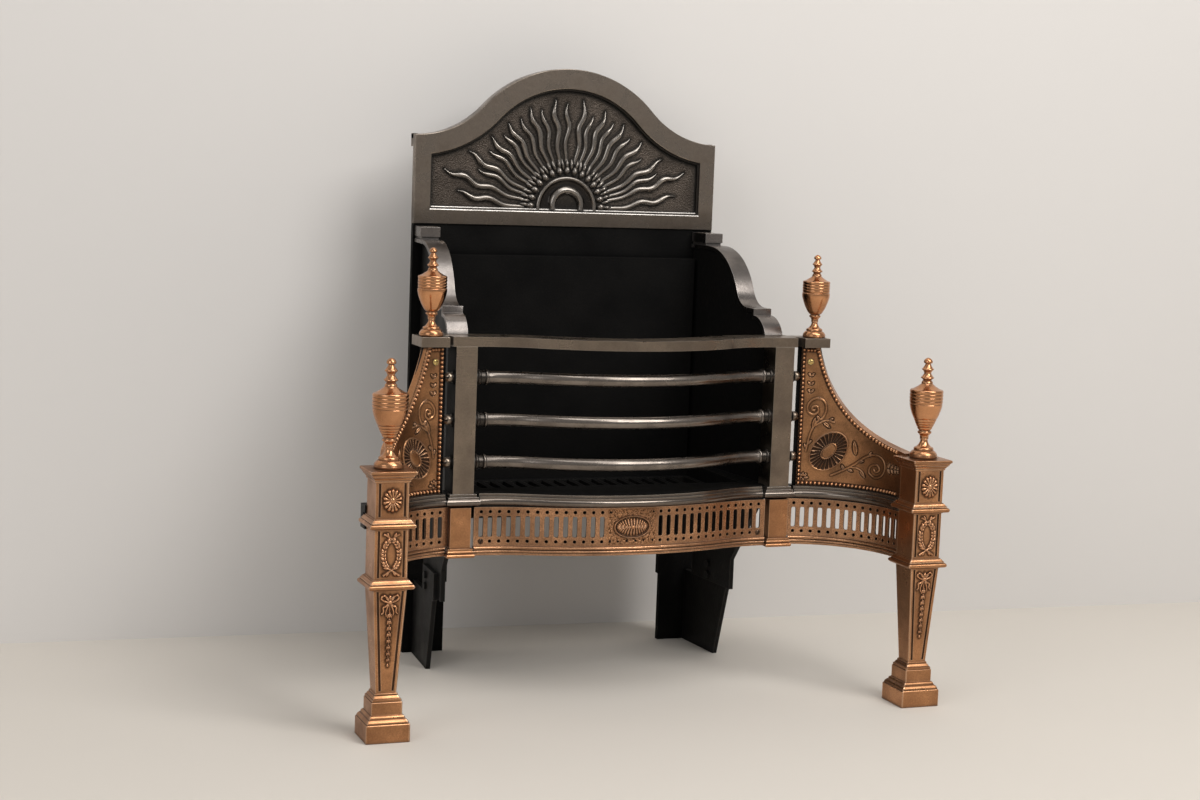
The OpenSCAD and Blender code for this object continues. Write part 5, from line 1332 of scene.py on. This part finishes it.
# First and last slot of the middle fret each side of its oval, and half the width of a cell
FIRST, LAST, MIDDLE_HALF = 45.5, 217.9, 6.63
slots = [side * (FIRST + (LAST - FIRST) / 13 * i) for side in (-1, 1) for i in range(14)]
edge = LAST + MIDDLE_HALF
bow_plate = pierced_plate(slots, MIDDLE_HALF,
                          ((-PLATE_END, -edge), (MIDDLE_HALF - FIRST, FIRST - MIDDLE_HALF),
                           (edge, PLATE_END)))
strip = bow_strip(PLATE_END, reeds())
piece("fret_pierced_middle", laid(bow_plate, up_fret) + [strip], FRETTED, "copper",
      ("fret_middle",), crease=30, dirt_and_shade=sooty_inside(bow_plate, strip))
side_half = bend(2.8)
side_slots = [bend(12.9 + 5.6 * i) for i in range(15)]
side_plate = pierced_plate(side_slots, side_half, ((bend(7.4), side_slots[0] - side_half),
                                                   (side_slots[-1] + side_half, SPAN_S1)))
strip = side_strip(9.75, reeds())
pairs(("fret_pierced", laid(side_plate, on_side) + [strip], FRETTED, "copper", ["fret"],
       dict(crease=30, dirt_and_shade=sooty_inside(side_plate, strip))))

dot_backs = [[(-3.45, z - 3.6), (-3.45, z + 3.6), (-BACK, z + 3.6), (-BACK, z - 3.6)]
             for z in DOTS_Z]
plugs = [bow_strip(225, section) for section in dot_backs]
side_plugs = [side_strip(9.5, section) for section in dot_backs]
piece("fret_dot_backs", plugs + side_plugs + mirrored(side_plugs), SOOT, "copper", crease=40)
dish, dish_darkening, petals = fret_oval()
piece("fret_dish", laid(dish, on_fret), COPPER, "copper", crease=50, dirt_and_shade=dish_darkening)
piece("fret_petals", laid(petals, on_fret), RAISED, "copper", crease=60)
ground, ground_soil = chased_ground()
piece("fret_ground", laid(ground, on_fret), COPPER, "copper", crease=60, dirt_and_shade=ground_soil)
under = [dome((-20.9 + 13.26 * k, -20.6), 4.6, 4.6, 0.9, rings=3, steps=12) for k in range(4)]
under += [dome((x, z), 4.6, 4.6, 0.9, rings=3, steps=12)
          for x, z in ((-33, 21.4), (33, 21.4), (-33, -20.8), (33, -20.8))]
piece("fret_dots", laid(under, on_fret), SOOT, "copper", crease=60)

(v, q, f), slot = slotted_head(3.9, 2.0, 65)
heads = [(on_fret(v + (side * LAST, DOTS_Z[0] - SLOT_Z, 0)), q, f) for side in (-1, 1)]
piece("fret_screw_heads", heads, BRONZED, "copper", ("fret_screws",), crease=30,
      dirt_and_shade=np.tile(slot, 2))
(v, q, f), slot = slotted_head(4.4, 2.4, 20)
brass = [(on_side(v + (bend(SCREW_TURN), SCREW_Z, 0.0)), q, f)]
piece("spandrel_screw_heads", brass + mirrored(brass), BRASS, "brass", crease=30,
      dirt_and_shade=np.tile(slot, 2))


# Axis of the bars, and their heights
BAR_Y, BAR_Z = 166.6, (344.0, 404.5, 465.0)


def bar_nuts():
    """Slotted round nuts on the bars' ends outside the uprights, turned level, on dark washers."""
    a = circle(56)
    nut = np.array([(6.6, 267.0), (7.3, 268.2), (7.5, 270.4), (7.3, 272.6), (6.4, 274.6),
                    (5.0, 276.1), (2.9, 277.0), (0.2, 277.3)])
    washer = np.array([(9.8, 263.0), (9.8, 265.0), (9.2, 265.6), (5.2, 265.8), (4.8, 268.0),
                       (0.2, 268.2)])
    made = []
    for outline in (nut, washer):
        r, x = outline[:, :1], outline[:, 1:]
        x = np.where((np.abs(r * np.sin(a)) < 0.8) & (r < 7.0), np.minimum(x, 272.8), x)
        made.append([closed(spread(x, BAR_Y + r * np.cos(a), z + r * np.sin(a))) for z in BAR_Z])
    return made


nuts, washers = bar_nuts()
sheet = [[(x, y, z) for x, y in ((263.0, 158.6), (263.5, 158.6), (263.5, 197.3), (263.0, 197.3))]
         for z in (299.5, 400.0, 508.5)]
pairs(("bar_nuts", nuts, STEEL, "steel", [], dict(crease=40)),
      ("bar_washers", washers + [closed(sheet)], SOOT, "iron", [], dict(crease=40)))


# --- rubbed edges on the square work -----------------------------------------------------------

# Solid, finish, metal and width of the rubbed edge in metres; the others come left and right
rubbed_copy("top_rail", STEEL, 0.0008)
for node, finish, metal_slot, width in (("shelf", STEEL, "steel", 0.0008),
                                        ("upright", STEEL, "steel", 0.0008),
                                        ("ledge_block", LEDGE_STEEL, "steel", 0.0008),
                                        ("pilaster", COPPER, "copper", 0.0006),
                                        ("cheek_rim", POLISHED, "steel", 0.0007)):
    for side in ("left", "right"):
        rubbed_copy(f"{node}_{side}", finish, width)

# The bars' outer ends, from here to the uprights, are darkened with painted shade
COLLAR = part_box("upright_right")[0][0] - 0.0158
for node in ("bar_upper", "bar_middle", "bar_lower"):
    bar = rubbed_copy(node, BAR_STEEL, 0.0004).data
    place = np.empty(3 * len(bar.vertices), np.float32)
    bar.vertices.foreach_get("co", place)
    lay_dirt_and_shade(bar, 0.85 * held((np.abs(place[::3]) - COLLAR) / 0.0015))


# --- finish of the solids that show as they are ------------------------------------------------

FINISHES = ((LEDGE_STEEL, ("ledge_middle", "ledge_left", "ledge_right")),
            (CAST, ("cheek_left", "cheek_right", "hearth_plate", "bottom_grate", "hind_foot_left",
                    "hind_foot_right", "spandrel_backing_left", "spandrel_backing_right",
                    "back_bolts", "lug_bolts", "leg_bolts", "finial_studs")),
            (SOOT, ("fire_back", "fire_slab")), (BRASS, ("spandrel_screws",)))
for finish, nodes in FINISHES:
    for node in nodes:
        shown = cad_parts[node]
        shown.data.materials.clear()
        shown.data.materials.append(finish)
